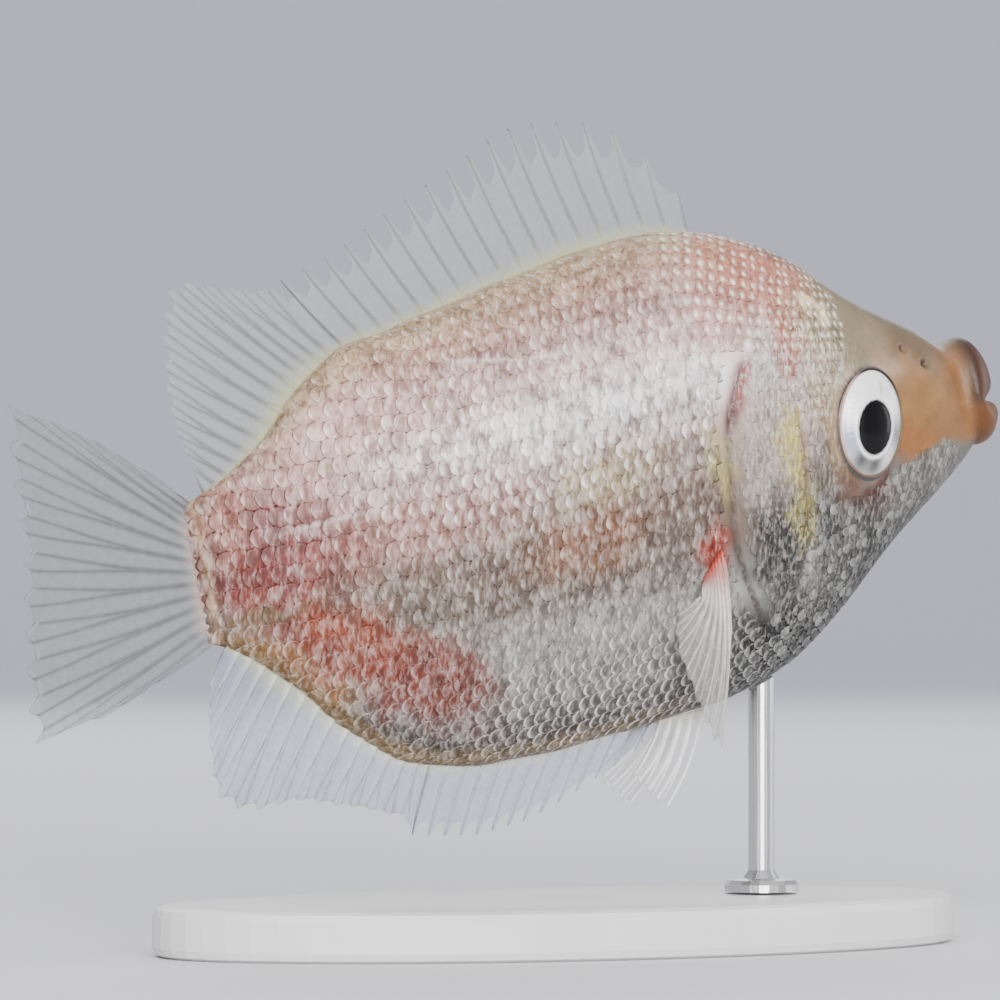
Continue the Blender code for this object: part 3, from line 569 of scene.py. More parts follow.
# each patch: along, height, half length, half height, tilt in degrees, strength, colour
patches = [
    (12.0, 10.0, 16.0, 5.5, 24.0, 0.7, rgb(194, 168, 160)),
    (8.0, 2.0, 15.0, 9.6, 6.0, 0.95, rgb(170, 66, 60)),
    (1.5, 5.0, 5.0, 5.5, 0.0, 0.5, rgb(180, 130, 112)),
    (15.5, -12.5, 17.0, 6.0, -28.0, 0.95, rgb(176, 98, 62)),
    (24.5, -18.5, 10.0, 6.0, -26.0, 0.85, rgb(160, 88, 70)),
    (8.0, -14.0, 10.0, 2.4, -42.0, 0.7, rgb(178, 150, 96)),
    (5.4, -14.0, 11.0, 3.6, -24.0, 0.75, rgb(174, 116, 72)),
    (4.5, -6.6, 8.0, 1.3, 6.0, 0.75, rgb(148, 128, 92)),
    (27.0, 2.0, 15.0, 7.0, 8.0, 0.6, rgb(188, 136, 128)),
    (22.0, 12.0, 12.0, 7.0, 30.0, 0.45, rgb(204, 174, 166)),
    (49.5, 2.0, 7.5, 4.5, 10.0, 0.4, rgb(180, 174, 138)),
    (45.5, -5.5, 10.0, 5.0, 8.0, 0.6, rgb(174, 128, 100)),
    (75.5, 22.0, 11.0, 6.5, -24.0, 0.85, rgb(199, 147, 128)),
    (68.5, 17.0, 6.0, 6.0, 0.0, 0.45, rgb(194, 132, 118)),
    (75.0, 8.6, 6.5, 5.5, -20.0, 0.8, rgb(164, 155, 144)),
    (79.5, 14.5, 6.0, 5.5, -30.0, 0.85, rgb(192, 142, 118)),
    (76.5, 12.0, 3.4, 3.4, -20.0, 0.7, rgb(190, 102, 86)),
    (86.5, 13.0, 9.0, 7.5, -38.0, 0.95, rgb(162, 148, 124)),
    (84.5, 8.5, 6.0, 5.0, -20.0, 0.85, rgb(166, 150, 126)),
    (87.0, 11.5, 7.0, 5.0, -30.0, 0.8, rgb(154, 144, 122)),
    (98.5, 1.5, 10.5, 9.0, -6.0, 1.0, rgb(164, 128, 88)),
    (93.0, 2.5, 5.5, 6.5, 20.0, 0.85, rgb(170, 135, 90)),
    (95.5, 9.0, 6.0, 4.0, -34.0, 0.85, rgb(142, 126, 100)),
    (92.8, -4.0, 3.4, 4.4, 30.0, 0.9, rgb(172, 126, 76)),
    (81.0, 1.0, 3.0, 9.0, 8.0, 0.85, rgb(168, 148, 120)),
    (83.0, -7.5, 6.0, 3.2, -22.0, 0.85, rgb(152, 120, 98)),
    (87.0, -7.6, 3.6, 1.6, 8.0, 0.95, rgb(134, 86, 82)),
    (74.2, 0.5, 1.8, 5.5, 0.0, 0.75, rgb(184, 172, 102)),
    (74.4, -8.6, 1.8, 4.4, 0.0, 0.8, rgb(180, 172, 96)),
    (64.0, 0.0, 1.4, 5.5, 6.0, 0.5, rgb(180, 176, 128)),
    (70.0, -1.0, 4.2, 9.0, 4.0, 0.75, rgb(170, 164, 160)),
    (70.5, -12.5, 4.8, 8.0, 4.0, 0.9, rgb(74, 73, 71)),
    (82.5, -14.0, 14.0, 7.8, -36.0, 0.95, rgb(90, 92, 90)),
    (93.0, -9.0, 6.0, 3.4, -34.0, 0.85, rgb(136, 137, 132)),
    (81.0, 16.8, 0.8, 2.4, 16.0, 0.8, rgb(228, 210, 180)),
    (82.3, 14.4, 0.7, 1.8, 10.0, 0.7, rgb(226, 208, 178)),
    (70.0, -24.0, 13.0, 8.0, 10.0, 0.95, rgb(36, 38, 42)),
    (62.0, -10.0, 2.8, 3.6, -50.0, 0.9, rgb(192, 94, 76)),
]
# the patches' ragged outlines: how far they stray, over waves of what size
strayForm = ((0.9, 7.0), (0.45, 2.6))
# strips on the outline: which one, how far from it whole and gone, where along the fish they
# come in and go out, strength, colour
edgeStrips = [
    ("back", (0.8, 3.2), (8.0, 18.0), (58.0, 68.0), 0.7, rgb(190, 168, 140)),
    ("back", (0.4, 3.2), (72.0, 80.0), (96.0, 100.0), 0.7, rgb(136, 130, 108)),
    ("belly", (0.8, 3.0), (-9.0, -8.0), (44.0, 56.0), 0.8, rgb(164, 142, 106)),
    # painted shade: this dark strip darkens the underside of the head along the belly's outline
    ("belly", (0.6, 6.5), (60.0, 67.0), (90.0, 97.0), 0.8, rgb(62, 64, 66)),
]
# rings round the tail root: along, width, strength, colour
tailRings = [(0.0, 0.5, 0.8, rgb(188, 168, 144)), (0.95, 0.25, 0.6, rgb(132, 78, 68)),
             (-0.8, 0.35, 0.7, rgb(130, 96, 88))]
markTones = {"jaw": rgb(138, 138, 133), "pored": rgb(228, 222, 216), "slitGlow": rgb(180, 98, 92),
             "slitBlood": rgb(136, 46, 54), "slitEdge": rgb(104, 52, 50),
             "cheekEdge": rgb(104, 62, 58), "orbit": rgb(84, 62, 52), "nostrilShade": rgb(58, 42, 34)}
# where the mirror flecks lie, in the same terms as the patches
fleckPatches = {
    "silver": [(76.0, 10.0, 7.0, 5.0, 0.0, 0.9), (76.0, 9.0, 7.0, 7.0, -20.0, 0.7),
               (70.5, 2.0, 5.0, 12.0, 0.0, 0.5), (71.0, -12.0, 5.0, 9.0, 6.0, 0.22),
               (79.5, 2.0, 3.0, 9.0, 6.0, 0.45), (78.0, -12.0, 5.0, 9.0, 6.0, 0.15),
               (70.0, -24.0, 12.0, 6.0, 10.0, 0.25), (78.0, 16.0, 7.0, 4.0, -30.0, 0.35),
               (84.0, 8.5, 6.0, 4.0, -30.0, 0.5), (68.0, 18.0, 6.0, 6.0, 0.0, 0.3)],
    "gold": [(74.0, 0.0, 2.4, 7.0, 0.0, 0.8), (74.2, -9.0, 2.2, 4.5, 0.0, 0.8),
             (64.0, 0.5, 1.6, 6.0, 6.0, 0.45), (80.0, 4.0, 2.0, 7.5, 8.0, 0.25),
             (79.5, 14.0, 4.0, 4.0, -30.0, 0.45), (50.0, 2.0, 8.0, 4.5, 10.0, 0.3)],
}
# the two stretches of the lateral line, as (along, height)
lateralLines = [[(33.0, 18.9), (38.0, 18.0), (43.1, 17.2), (51.9, 16.8), (64.0, 17.4)],
                [(2.1, 2.0), (6.0, 2.5), (10.9, 3.0), (22.8, 3.5)]]


def patchWeight(patch, along, height):
    centreAlong, centreHeight, length, tall, tilt, strength = patch[:6]
    x, z = turnBy(along - centreAlong, height - centreHeight, -tilt)
    u, v = x / length, z / tall
    return strength * (1 - softStep(0.35, 1.25, np.sqrt(u * u + v * v)))


def fleckAmounts(along, height):
    snout = softStep(84.0, 88.0, along) * (1 - softStep(-0.6, 0.8, jawTop(along) - height))
    crown = softStep(7.0, 11.0, height) * softStep(82.0, 88.0, along)
    chin = 0.25 + 0.75 * softStep(1.0, 8.0, height - bellyAt(along))
    amounts = {}
    for name, spots in fleckPatches.items():
        total = sum(patchWeight(patch, along, height) for patch in spots)
        amounts[name] = np.clip(total, 0, 1) * (1 - np.maximum(snout, crown)) * chin
    return amounts


def lateralLine(along, height):
    # 1 on the line of pored scales
    total = np.zeros(np.shape(along))
    for line in lateralLines:
        start, end = line[0][0], line[-1][0]
        inside = between(along, (start - 1, start + 1), (end - 1, end + 1))
        inside = inside * softStep(6, 14, along)
        total = np.maximum(total, hump(height, curveThrough(line)(along), 0.24) * inside)
    return total


def markingsAndPaintedLight(along, height):
    levels = [band[0] for band in bands]
    tones = np.array([band[1] for band in bands]).T
    level = bodyLevel(along, height)
    colour = np.stack([np.interp(level, levels, tone) for tone in tones], -1)
    strayAlong, strayHeight = along, height
    for k, (far, size) in enumerate(strayForm):
        strayAlong = strayAlong + far * waver(along, height, size, 1 + 2 * k)
        strayHeight = strayHeight + far * waver(along, height, size, 2 + 2 * k)
    for patch in patches:
        colour = blend(colour, patchWeight(patch, strayAlong, strayHeight), patch[6])
    jaw = softStep(-0.4, 0.9, jawTop(along) - height) * softStep(86, 91, along)
    colour = blend(colour, 0.9 * jaw, markTones["jaw"])
    away = {"back": backAt(along) - height, "belly": height - bellyAt(along)}
    for edge, reach, start, end, strength, tone in edgeStrips:
        strip = strength * (1 - softStep(*reach, away[edge])) * between(along, start, end)
        colour = blend(colour, strip, tone)
    colour = blend(colour, 0.35 * lateralLine(along, height), markTones["pored"])
    for place, wide, strength, tone in tailRings:
        colour = blend(colour, strength * hump(along, place, wide), tone)
    return colour * (1 + 0.1 * waver(along, height, 4.5, 5))[..., None]


def headMarks(along, height, colour):
    # the slit's red edge, the orbit's dark rim and painted shade in the nostril pits, on the skin
    # alone
    gap = slitDistance(along, height)
    onCover = between(height, (-22.0, -17.0), (10.5, 13.0))
    cheek = hump(along - cheekAt(height), -0.5, 0.2) * (1 - softStep(3, 5, height))
    rim = (1 - softStep(1.08, 1.18, eyeReach(along, height))) * (0.3 + 0.6 * softStep(0, 4, height))
    marks = [("slitGlow", hump(gap, 0.3, 1.4) * softStep(4.0, 7.0, height) * 0.95 * onCover),
             ("slitBlood", hump(gap, -0.1, 0.8) * hump(height, 5.2, 2.0) * 0.95 * onCover),
             ("slitEdge", hump(gap, -0.12, 0.22) * 0.8 * onCover),
             ("cheekEdge", cheek * 0.6 * onCover), ("orbit", rim)]
    # painted shade: each nostril pit is painted dark
    for place, level, size in nostrils:
        away = np.hypot(along - place, height - level)
        marks.append(("nostrilShade", 0.7 * (1 - softStep(size * 0.4, size * 1.2, away))))
    for name, amount in marks:
        colour = blend(colour, amount, markTones[name])
    return colour


# Skin: rings along the body, then rings round the mouth as the snout turns into the lips.
# Each mouth ring: upper along and height, lower along and height, corner along, half width
skinForm = {"rings": 300, "around": 240, "mouthRings": 54, "rootRings": 12, "root": (-1.0, 1.5),
            "snoutEnd": 101.0, "tailTip": (-1.03, 0.0, 0.1), "mouthTip": (103.6, 0.0, 0.1)}
mouthRings = [
    (101.0, 7.4, 101.0, -7.6, 101.0, 4.7),
    (101.8, 7.25, 101.9, -6.9, 101.7, 4.75),
    (102.9, 7.7, 102.7, -6.1, 102.4, 5.05),
    (104.2, 8.1, 103.4, -5.1, 103.0, 5.5),
    (105.3, 7.5, 104.5, -5.5, 103.5, 5.6),
    (106.3, 6.0, 105.9, -5.0, 104.0, 5.3),
    (106.9, 4.2, 106.9, -3.7, 104.3, 4.8),
    (107.1, 2.5, 107.5, -2.2, 104.4, 4.3),
    (106.6, 1.1, 107.1, -0.9, 104.2, 4.0),
    (105.4, 0.45, 105.9, -0.3, 103.6, 3.8),
    (103.8, 0.2, 104.2, 0.0, 103.0, 3.6),
]
mouthCurves = [curveThrough(list(enumerate(column))) for column in zip(*mouthRings)]
lipTones = {"upper": rgb(110, 86, 68), "lower": rgb(146, 106, 66), "rim": rgb(150, 106, 90),
            "inner": rgb(92, 48, 38)}


def mouthRing(spot, angles):
    # spot counts through mouthRings; angles run once round, 0 on the left
    topAlong, top, lowAlong, low, corner, half = (float(curve(spot)) for curve in mouthCurves)
    middle = towards(low, top, bodyForm["widest"])
    middle = towards(middle, 0.15, min(spot / 6.0, 1.0))
    rise, out = np.sin(angles), np.cos(angles)
    reach = np.where(rise > 0, topAlong, lowAlong)
    along = corner + (reach - corner) * np.abs(rise) ** 0.9
    fullness = np.where(rise > 0, bodyForm["backFullness"], bodyForm["bellyFullness"])
    across = half * np.sign(out) * np.abs(np.round(out, 9)) ** fullness
    height = middle + rise * np.where(rise > 0, top - middle, middle - low)
    return np.stack([along, across, height], -1)


def lipColour(height, spot):
    # tan upper lip with a pinkish rim, orange-brown lower lip
    upper = softStep(-0.6, 0.6, height)
    colour = blend(lipTones["lower"], upper, lipTones["upper"])
    colour = blend(colour, 0.6 * hump(spot, 5.0, 1.5) * upper, lipTones["rim"])
    colour = blend(colour, 0.75 * softStep(8.6, 9.6, spot), lipTones["inner"])
    return colour * (1 - 0.16 * softStep(-0.5, 1.0, height))[..., None]


unwrapForm = {"margin": 0.02, "behind": 2.5, "length": 118.0, "flank": 0.25, "round": 0.0057}


def unwrap(along, distance, side):
    # the body laid flat: along the fish, and round each flank from its widest line
    form = unwrapForm
    return np.stack([form["margin"] + (along + form["behind"]) / form["length"],
                     0.5 + side * form["flank"] + distance * form["round"]], -1)


def walkedRound(ring):
    # how far round its flank each point of a ring lies from the widest line
    quarter = len(ring) // 4
    steps = np.linalg.norm(np.roll(ring, -1, axis=0) - ring, axis=1)
    run = np.concatenate([[0.0], np.cumsum(steps)])
    walked = run[:-1].copy()
    walked[quarter:3 * quarter + 1] = run[2 * quarter] - run[quarter:3 * quarter + 1]
    walked[3 * quarter + 1:] -= run[-1]
    return walked


def skinRings():
    # the rings from tail to mouth, their colours, and their places along the unwrap
    around, end = skinForm["around"], skinForm["snoutEnd"]
    angles = np.arange(around) * 2 * math.pi / around
    side = np.where(np.cos(angles) >= -1e-9, 1.0, -1.0)
    folded = np.arcsin(np.clip(np.sin(angles), -1, 1))
    alongs = np.concatenate([np.linspace(*skinForm["root"], skinForm["rootRings"])[:-1],
                             np.linspace(skinForm["root"][1], end, skinForm["rings"])])
    spots = np.linspace(0, len(mouthRings) - 1, skinForm["mouthRings"])[1:]
    rings, colours = [], []
    for along in alongs:
        ring = surface(np.full(around, along), folded, side)
        ring[np.abs(np.cos(angles)) < 1e-6, 1] = 0.0
        rings.append(ring)
        plain = markingsAndPaintedLight(np.full(around, along), ring[:, 2])
        colours.append(headMarks(ring[:, 0], ring[:, 2], plain))
    for spot in spots:
        ring = mouthRing(spot, angles)
        rings.append(ring)
        snout = markingsAndPaintedLight(np.full(around, end - 0.5), ring[:, 2])
        colours.append(blend(snout, softStep(0.8, 3.2, spot), lipColour(ring[:, 2], spot)))
    return rings, colours, np.concatenate([alongs, end + np.arange(1, len(spots) + 1) * 0.2])


def makeSkin(material):
    rings, colours, places = skinRings()
    around, count = skinForm["around"], len(rings)
    index = np.arange(count * around).reshape(count, around)
    faces = tubeFaces(index, count * around, count * around + 1)
    points = np.concatenate(rings + [[skinForm["tailTip"]], [skinForm["mouthTip"]]])
    colours = np.concatenate(colours + [colours[0][:1], colours[-1][:1]])
    walked = np.concatenate([walkedRound(ring) for ring in rings] + [[0.0, 0.0]])
    places = np.concatenate([np.repeat(places, around), [-1.1, 112.0]])
    middles = np.sign([sum(points[corner, 1] for corner in face) for face in faces])
    corners = np.concatenate([np.array(face) for face in faces])
    sides = np.repeat(middles, [len(face) for face in faces])
    uvs = unwrap(places[corners], walked[corners], sides)
    skin = makePiece("skin", points, faces, material, colours,
                     fleckAmounts(points[:, 0], points[:, 2]), uvs)
    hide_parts("head", "torso", "tail_stem", "gill_cover_left", "gill_cover_right",
                "upper_lip", "lower_lip")
    print("skin:", len(faces), "faces")


# Scales: closed plates in a staggered lattice, taller than long, free edges to the tail
scaleForm = {"along": 1.46, "row": 1.95, "lowRow": 1.6, "lowRows": (-20.0, -7.0), "length": 2.1,
             "width": 0.62, "rootLift": -0.07, "edgeLift": 0.0, "edgeDip": 0.04, "tuck": 0.03,
             "dome": 0.012, "bow": 0.34, "thick": 0.1, "acrossCells": 8,
             "rows": (0, 0.22, 0.4, 0.52, 0.61, 0.69, 0.77, 0.85, 0.93, 1), "jitter": 0.07,
             "seed": 11, "first": 0.9, "last": 101.0, "tailEnd": -0.95, "patch": 0.0015}


def scaleSize(along):
    # large on the tail stem, small on the head
    return (1 + 0.18 * (1 - softStep(14.0, 38.0, along))) * (1 - 0.32 * softStep(62.0, 84.0, along))


def rowPlaces():
    # each row's distance from the widest line and its height, lower towards the belly
    rows = [(0.0, scaleForm["row"])]
    for way in (1, -1):
        place = 0.0
        while abs(place) < mapStep["reach"]:
            share = float(softStep(*scaleForm["lowRows"], place))
            tall = towards(scaleForm["lowRow"], scaleForm["row"], share)
            place += way * tall
            rows.append((place, tall))
    return sorted(rows)


def scaleSpots():
    # root places as (along, distance round the flank, size, row height)
    columns = [scaleForm["first"]]
    while columns[-1] < scaleForm["last"]:
        columns.append(columns[-1] + scaleForm["along"] * float(scaleSize(columns[-1])))
    counted = np.arange(len(columns))
    spots = []
    for row, (place, tall) in enumerate(rowPlaces()):
        alongs = np.interp(counted[:-1] + 0.5 * (row % 2), counted, columns)
        sizes = scaleSize(alongs)
        spots.append(np.stack([alongs, place * sizes, sizes, tall * sizes], -1))
    return np.concatenate(spots)


# where no scale grows: over the slit, on the cheek's fold, round the eye and on the snout
bareForm = {"edge": 0.45, "slitSpan": (-22.5, 12.6), "slitReach": (0.7, 0.4),
            "slitBulge": (1.3, 9.5, 4.5), "foldSpan": (-20.0, 10.5), "foldReach": 0.5,
            "orbit": 1.4, "snout": 0.05, "ragged": (0.04, 1.6)}


def inSpan(value, low, high):
    return (value > low) & (value < high)


def keptScales(spots):
    form = bareForm
    along, distance, size, _ = spots.T
    low, high = limitsAt(along)
    inside = inSpan(distance, low + form["edge"], high - form["edge"])
    height = bodyPoint(along, angleAt(along, np.clip(distance, low, high)), 1.0)[..., 2]
    free, slit = along - scaleForm["length"] * size, slitAt(height)
    wide, level, spread = form["slitBulge"]
    behind = slit - form["slitReach"][0] - wide * hump(height, level, spread)
    crossing = (along > behind) & (free < slit + form["slitReach"][1])
    crossing = crossing & inSpan(height, *form["slitSpan"])
    fold = np.abs(along - 0.7 * size - cheekAt(height)) < form["foldReach"]
    fold = fold & inSpan(height, *form["foldSpan"])
    orbit = eyeReach(along - 0.8 * size, height) < form["orbit"]
    far, wave = form["ragged"]
    snout = snoutFade(along, height) < form["snout"] + far * waver(along, height, wave, 9)
    return spots[inside & ~crossing & ~fold & ~orbit & ~snout]


# the parts of the head and breast: along the fish and up it, over which places each comes in
zoneForm = {"napeAlong": (58.0, 67.0), "napeUp": (9.0, 14.0), "slit": (-0.4, 0.4),
            "cheek": (-0.5, 0.5), "coverTop": (10.0, 13.0), "cheekTop": (-2.0, 3.0),
            "templeTop": (10.0, 15.0), "breastAlong": (58.0, 66.0), "breastTop": (-21.0, -15.0)}


def coatZones(along, height):
    # how much a place belongs to each part of the head and breast
    form = zoneForm
    ahead = softStep(*form["slit"], along - slitAt(height))
    beyond = softStep(*form["cheek"], along - cheekAt(height))
    nape = softStep(*form["napeUp"], height) * softStep(*form["napeAlong"], along)
    cover = ahead * (1 - beyond) * (1 - softStep(*form["coverTop"], height))
    temple = beyond * between(height, form["cheekTop"], form["templeTop"])
    cheek = beyond * (1 - softStep(*form["cheekTop"], height))
    breast = softStep(*form["breastAlong"], along) * (1 - softStep(*form["breastTop"], height))
    return nape, cover, temple, cheek, breast


def brokenAmount(along, height):
    # how much the mottle breaks up the scales' painted shine: most in the pale band, little on the
    # head
    nape, *head = coatZones(along, height)
    band = hump(bodyLevel(along, height), 0.66, 0.2)
    return (0.6 + 0.4 * band) * (1 - 0.4 * nape) * (1 - 0.85 * np.clip(sum(head), 0, 1))


def scaleStanding(along, height):
    # how far scales stand off the skin: flush on the nape and cover, proud on the belly
    level = bodyLevel(along, height)
    standing = 0.2 + 0.5 * (1 - softStep(0.12, 0.4, level)) - 0.1 * softStep(0.7, 0.9, level)
    for zone, amount in zip(coatZones(along, height), (0.2, 0.05, 0.05, 0.5, 0.8)):
        standing = towards(standing, amount, zone)
    return standing * snoutFade(along, height)


scaleTones = {"glintPearl": rgb(246, 226, 214), "bandGlintPearl": rgb(254, 253, 251),
              "net": rgb(232, 232, 234), "dot": rgb(242, 226, 206), "cobble": rgb(156, 157, 153),
              "mirrorGlint": rgb(190, 191, 189)}


# the scales' patterns: levels run from belly 0 to back 1, u across a scale and v along it
# the lozenge, shine and band keys place each scale's painted highlight; the chance keys pick the
# scales that get a painted glint or lie darker
patternForm = {"netLevel": (0.12, 0.3), "netAlong": (26.0, 38.0), "netRim": (0.74, 0.96),
               "bandLevel": (0.68, 0.17), "bandAlong": (14.0, 34.0), "lozengeAside": 0.4,
               "lozengeWide": (0.42, 0.78), "lozengeAt": 0.92, "lozengeLong": (0.13, 0.25),
               "shineLevel": (0.4, 0.65), "shineAlong": (14.0, 32.0), "dotWide": (0.0, 0.32),
               "dotLong": (0.72, 0.14), "dotShare": 0.85, "cobbleRim": (0.55, 0.95),
               "mirrorGlintChance": (0.6, 1.0), "dullChance": (0.2, 0.5), "chinFade": (1.0, 8.0)}


def bodyTint(base, along, level, onHead, breast, u, v, chance):
    # painted highlights, partly the scales' own silver: a bright upright lozenge near each flank
    # scale's free edge over a darker ground, stronger higher up and in the pale band; and a pale
    # net round dark middles on the belly
    form = patternForm
    net = (1 - softStep(*form["netLevel"], level)) * (1 - onHead)
    band = hump(level, *form["bandLevel"]) * softStep(*form["bandAlong"], along)
    glintLozenge = hump(u, form["lozengeAside"] * (chance[:, 0] - 0.5),
                   towards(*form["lozengeWide"], band))
    glintLozenge = glintLozenge * hump(v, form["lozengeAt"], towards(*form["lozengeLong"], band))
    glintLozenge = glintLozenge * (0.3 + 0.7 * chance[:, 2])
    # the painted highlight: its share, growing towards the back, forward from the tail stem and in
    # the pale band, and its pearly colour
    shine = (0.1 + 0.2 * softStep(*form["shineLevel"], level)
             + 0.12 * softStep(*form["shineAlong"], along) + 0.55 * band)
    glintPearl = blend(scaleTones["glintPearl"], band, scaleTones["bandGlintPearl"])
    light = blend(base * 1.25, shine * (1 - onHead), glintPearl)
    flank = blend(base * (0.84 - 0.1 * band)[..., None], glintLozenge, light)
    rim = softStep(*form["netRim"], np.maximum(np.abs(u), v)) * (0.5 + 0.5 * chance[:, 2])
    pale = 0.25 + 0.55 * softStep(*form["netAlong"], along)
    pale = blend(base * 1.5, pale, scaleTones["net"])
    return blend(flank, net, blend(base * 0.76, (0.8 - 0.35 * breast) * rim, pale))


def scaleTint(along, height, u, v, chance):
    # the body's pattern, cream dots on the nape, and a mosaic of silver and grey over the
    # cheek and breast, with painted glints: some scales painted bright as if they mirrored the
    # light, some lying darker
    form, base = patternForm, markingsAndPaintedLight(along, height)
    nape, cover, temple, cheek, breast = coatZones(along, height)
    onHead = np.clip(cover + temple + cheek, 0, 1)
    colour = bodyTint(base, along, bodyLevel(along, height), onHead, breast, u, v, chance)
    fade = snoutFade(along, height)
    dot = hump(u, *form["dotWide"]) * hump(v, *form["dotLong"]) * fade
    dot = dot * (chance[:, 0] < form["dotShare"]) * np.clip(nape + 0.3 * temple, 0, 1)
    dotted = blend(base * 0.98, dot, scaleTones["dot"])
    colour = blend(colour, np.clip(nape + temple + cover, 0, 1), dotted)
    mosaic = np.clip(0.6 * cheek + 0.4 * breast, 0, 1) * fade
    mosaic = mosaic * (0.45 + 0.55 * softStep(*form["chinFade"], height - bellyAt(along)))
    cobble = softStep(*form["cobbleRim"], np.maximum(np.abs(u), v))
    # painted glints: a share of the scales painted bright, as if they mirrored the light
    mirrorGlint = softStep(*form["mirrorGlintChance"], chance[:, 1])
    dull = 1 - softStep(*form["dullChance"], chance[:, 1])
    for amount, tone in ((0.5 * cobble, scaleTones["cobble"]), (0.5 * mirrorGlint, scaleTones["mirrorGlint"]),
                         (0.3 * dull, base * 0.6)):
        colour = blend(colour, amount * mosaic, tone)
    shade = 1 + 0.3 * (chance[:, 3] - 0.5) * (1 + mosaic)
    return np.clip(colour * shade[..., None], 0, 1)


def scalePlate():
    # one scale: u runs across it and v from its root to its free edge. It gives each point's
    # width, reach and lift, the flat faces underneath and the smooth faces on top
    form = scaleForm
    cells, rows = form["acrossCells"], form["rows"]
    u, v = (part.ravel() for part in np.meshgrid(np.linspace(-1, 1, cells + 1), rows))
    width = (0.75 + 0.25 * softStep(0, 0.45, v)) * (1 - 0.1 * softStep(0.8, 1.0, v))
    reach = v * (1 - form["bow"] * u**2)
    lift = (towards(form["rootLift"], form["edgeLift"], v) - form["edgeDip"] * u**2 * v
            + form["dome"] * (1 - u**2) * np.sin(v * math.pi * 0.75))
    grid = np.arange(len(u)).reshape(len(rows), cells + 1)
    plate = [[grid[r, c], grid[r, c + 1], grid[r + 1, c + 1], grid[r + 1, c]]
             for r in range(len(rows) - 1) for c in range(cells)]
    rim = list(grid[0, :]) + list(grid[1:, -1]) + list(grid[-1, -2::-1]) + list(grid[-2:0:-1, 0])
    under = [[b, a, len(u)] for a, b in zip(rim, rim[1:] + rim[:1])]
    # one more point, in the middle of the underside
    middle = (0.0, 0.5, 0.5, 0.45, form["rootLift"] - form["thick"])
    points = [np.append(part, end) for part, end in zip((u, v, width, reach, lift), middle)]
    return points, under, plate


def layScales(group, side, plateForm, rng):
    # a group of scales laid on one side: all their points and colours
    form = scaleForm
    u, v, width, reach, lift = plateForm
    root, distance, size, tall = group.T
    n, m = len(group), len(u)
    jitter = rng.normal(0, form["jitter"], (n, 4)).T[..., None]
    heights = bodyPoint(root, angleAt(root, distance), 1.0)[..., 2]
    standing = (scaleStanding(root, heights) * (1 + 1.5 * jitter[3, :, 0]))[:, None]
    fade = snoutFade(root, heights)[:, None]
    low, high = limitsAt(root)
    half = np.minimum(tall * form["width"], np.minimum(distance - low, high - distance) - 0.1)
    along = root[:, None] + 0.6 * jitter[1]
    along = along - form["length"] * size[:, None] * (1 + 0.5 * jitter[0]) * reach
    along = np.maximum(along, form["tailEnd"])
    distance = distance[:, None] + half[:, None] * u * width + jitter[2] * v * 0.8
    lifted = form["rootLift"] + form["thick"] * softStep(0.0, 0.26, v) * (0.35 + 0.65 * fade)
    lifted = lifted + (lift - form["rootLift"]) * standing - form["tuck"] * u**4 * v
    lifted[:, -1] = form["rootLift"] - form["thick"]
    low, high = limitsAt(along)
    angle = angleAt(along, np.clip(distance, low + 0.02, high - 0.02))
    points = surface(along, angle, np.full((n, m), side), lifted).reshape(-1, 3)
    chance = np.repeat(rng.random((n, 4)), m, axis=0)
    return points, scaleTint(points[:, 0], points[:, 2], np.tile(u, n), np.tile(v, n), chance)


def makeScales(material):
    rng = np.random.default_rng(scaleForm["seed"])
    plateForm, under, plate = scalePlate()
    u, v = plateForm[:2]
    # flat faces first: a point takes its smooth normal from the faces written last
    smooth = [False] * len(under) + [True] * len(plate)
    spots = keptScales(scaleSpots())
    halves = np.array_split(np.argsort(spots[:, 0]), 2)
    for side, sideName in ((1.0, "left"), (-1.0, "right")):
        shape = [face[::-1] if side > 0 else face for face in under + plate]
        corners = np.concatenate([np.array(face) for face in shape])
        patch = np.stack([u[corners], v[corners] * 2 - 1], -1) * scaleForm["patch"]
        for chosen, part in zip(halves, ("rear", "front")):
            group = spots[chosen]
            points, colours = layScales(group, side, plateForm, rng)
            faces = [[k * len(u) + corner for corner in face]
                     for k in range(len(group)) for face in shape]
            centre = unwrap(group[:, 0], group[:, 1], side)
            uvs = (centre[:, None, :] + patch[None]).reshape(-1, 2)
            name = f"scales_{sideName}_{part}"
            amounts = fleckAmounts(points[:, 0], points[:, 2])
            amounts["broken"] = brokenAmount(points[:, 0], points[:, 2])
            makePiece(name, points, faces, material, colours, amounts, uvs,
                      np.tile(smooth, len(group)))
            print(name, "triangles:", len(group) * (2 * len(plate) + len(under)))
    print("scales:", 2 * len(spots))


# Fins: each ray is a raised crest in a thin sheet. A column of points stands at each of these
# shares of the way from one ray to the next, for spines and for forked soft rays
spineQ = [0.0, 0.03, 0.06, 0.1, 0.17, 0.3, 0.5, 0.7, 0.83, 0.9, 0.94, 0.97]
softQ = [0.0, 0.07, 0.14, 0.2, 0.26, 0.34, 0.5, 0.66, 0.74, 0.8, 0.86, 0.93]
finCommon = {"rows": 30, "notch": 0.05, "notchWidth": 0.5, "bend": 0.0, "fork": 0.0,
             "forkStart": 0.3, "forkSpread": (0.03, 0.25), "rayHalf": (0.3, 0.14),
             "ray": (0.9, 0.3), "membrane": (0.34, 0.12), "wave": 0.0, "ripple": 0.0,
             "membraneColour": rgb(176, 180, 176), "rayColour": rgb(138, 140, 142),
             "rootColour": rgb(190, 190, 160), "rootReach": 0.22, "membraneAlpha": 0.19,
             "rayAlpha": 0.6, "rootAlpha": 0.55}


def placeAcross(q, left, right):
    # a column's place between two rays, gathered round the branches of forked rays
    if q < 0.2:
        return q / 0.2 * left
    if q > 0.8:
        return right + (q - 0.8) / 0.2 * (1 - right)
    return left + (q - 0.2) / 0.6 * (right - left)


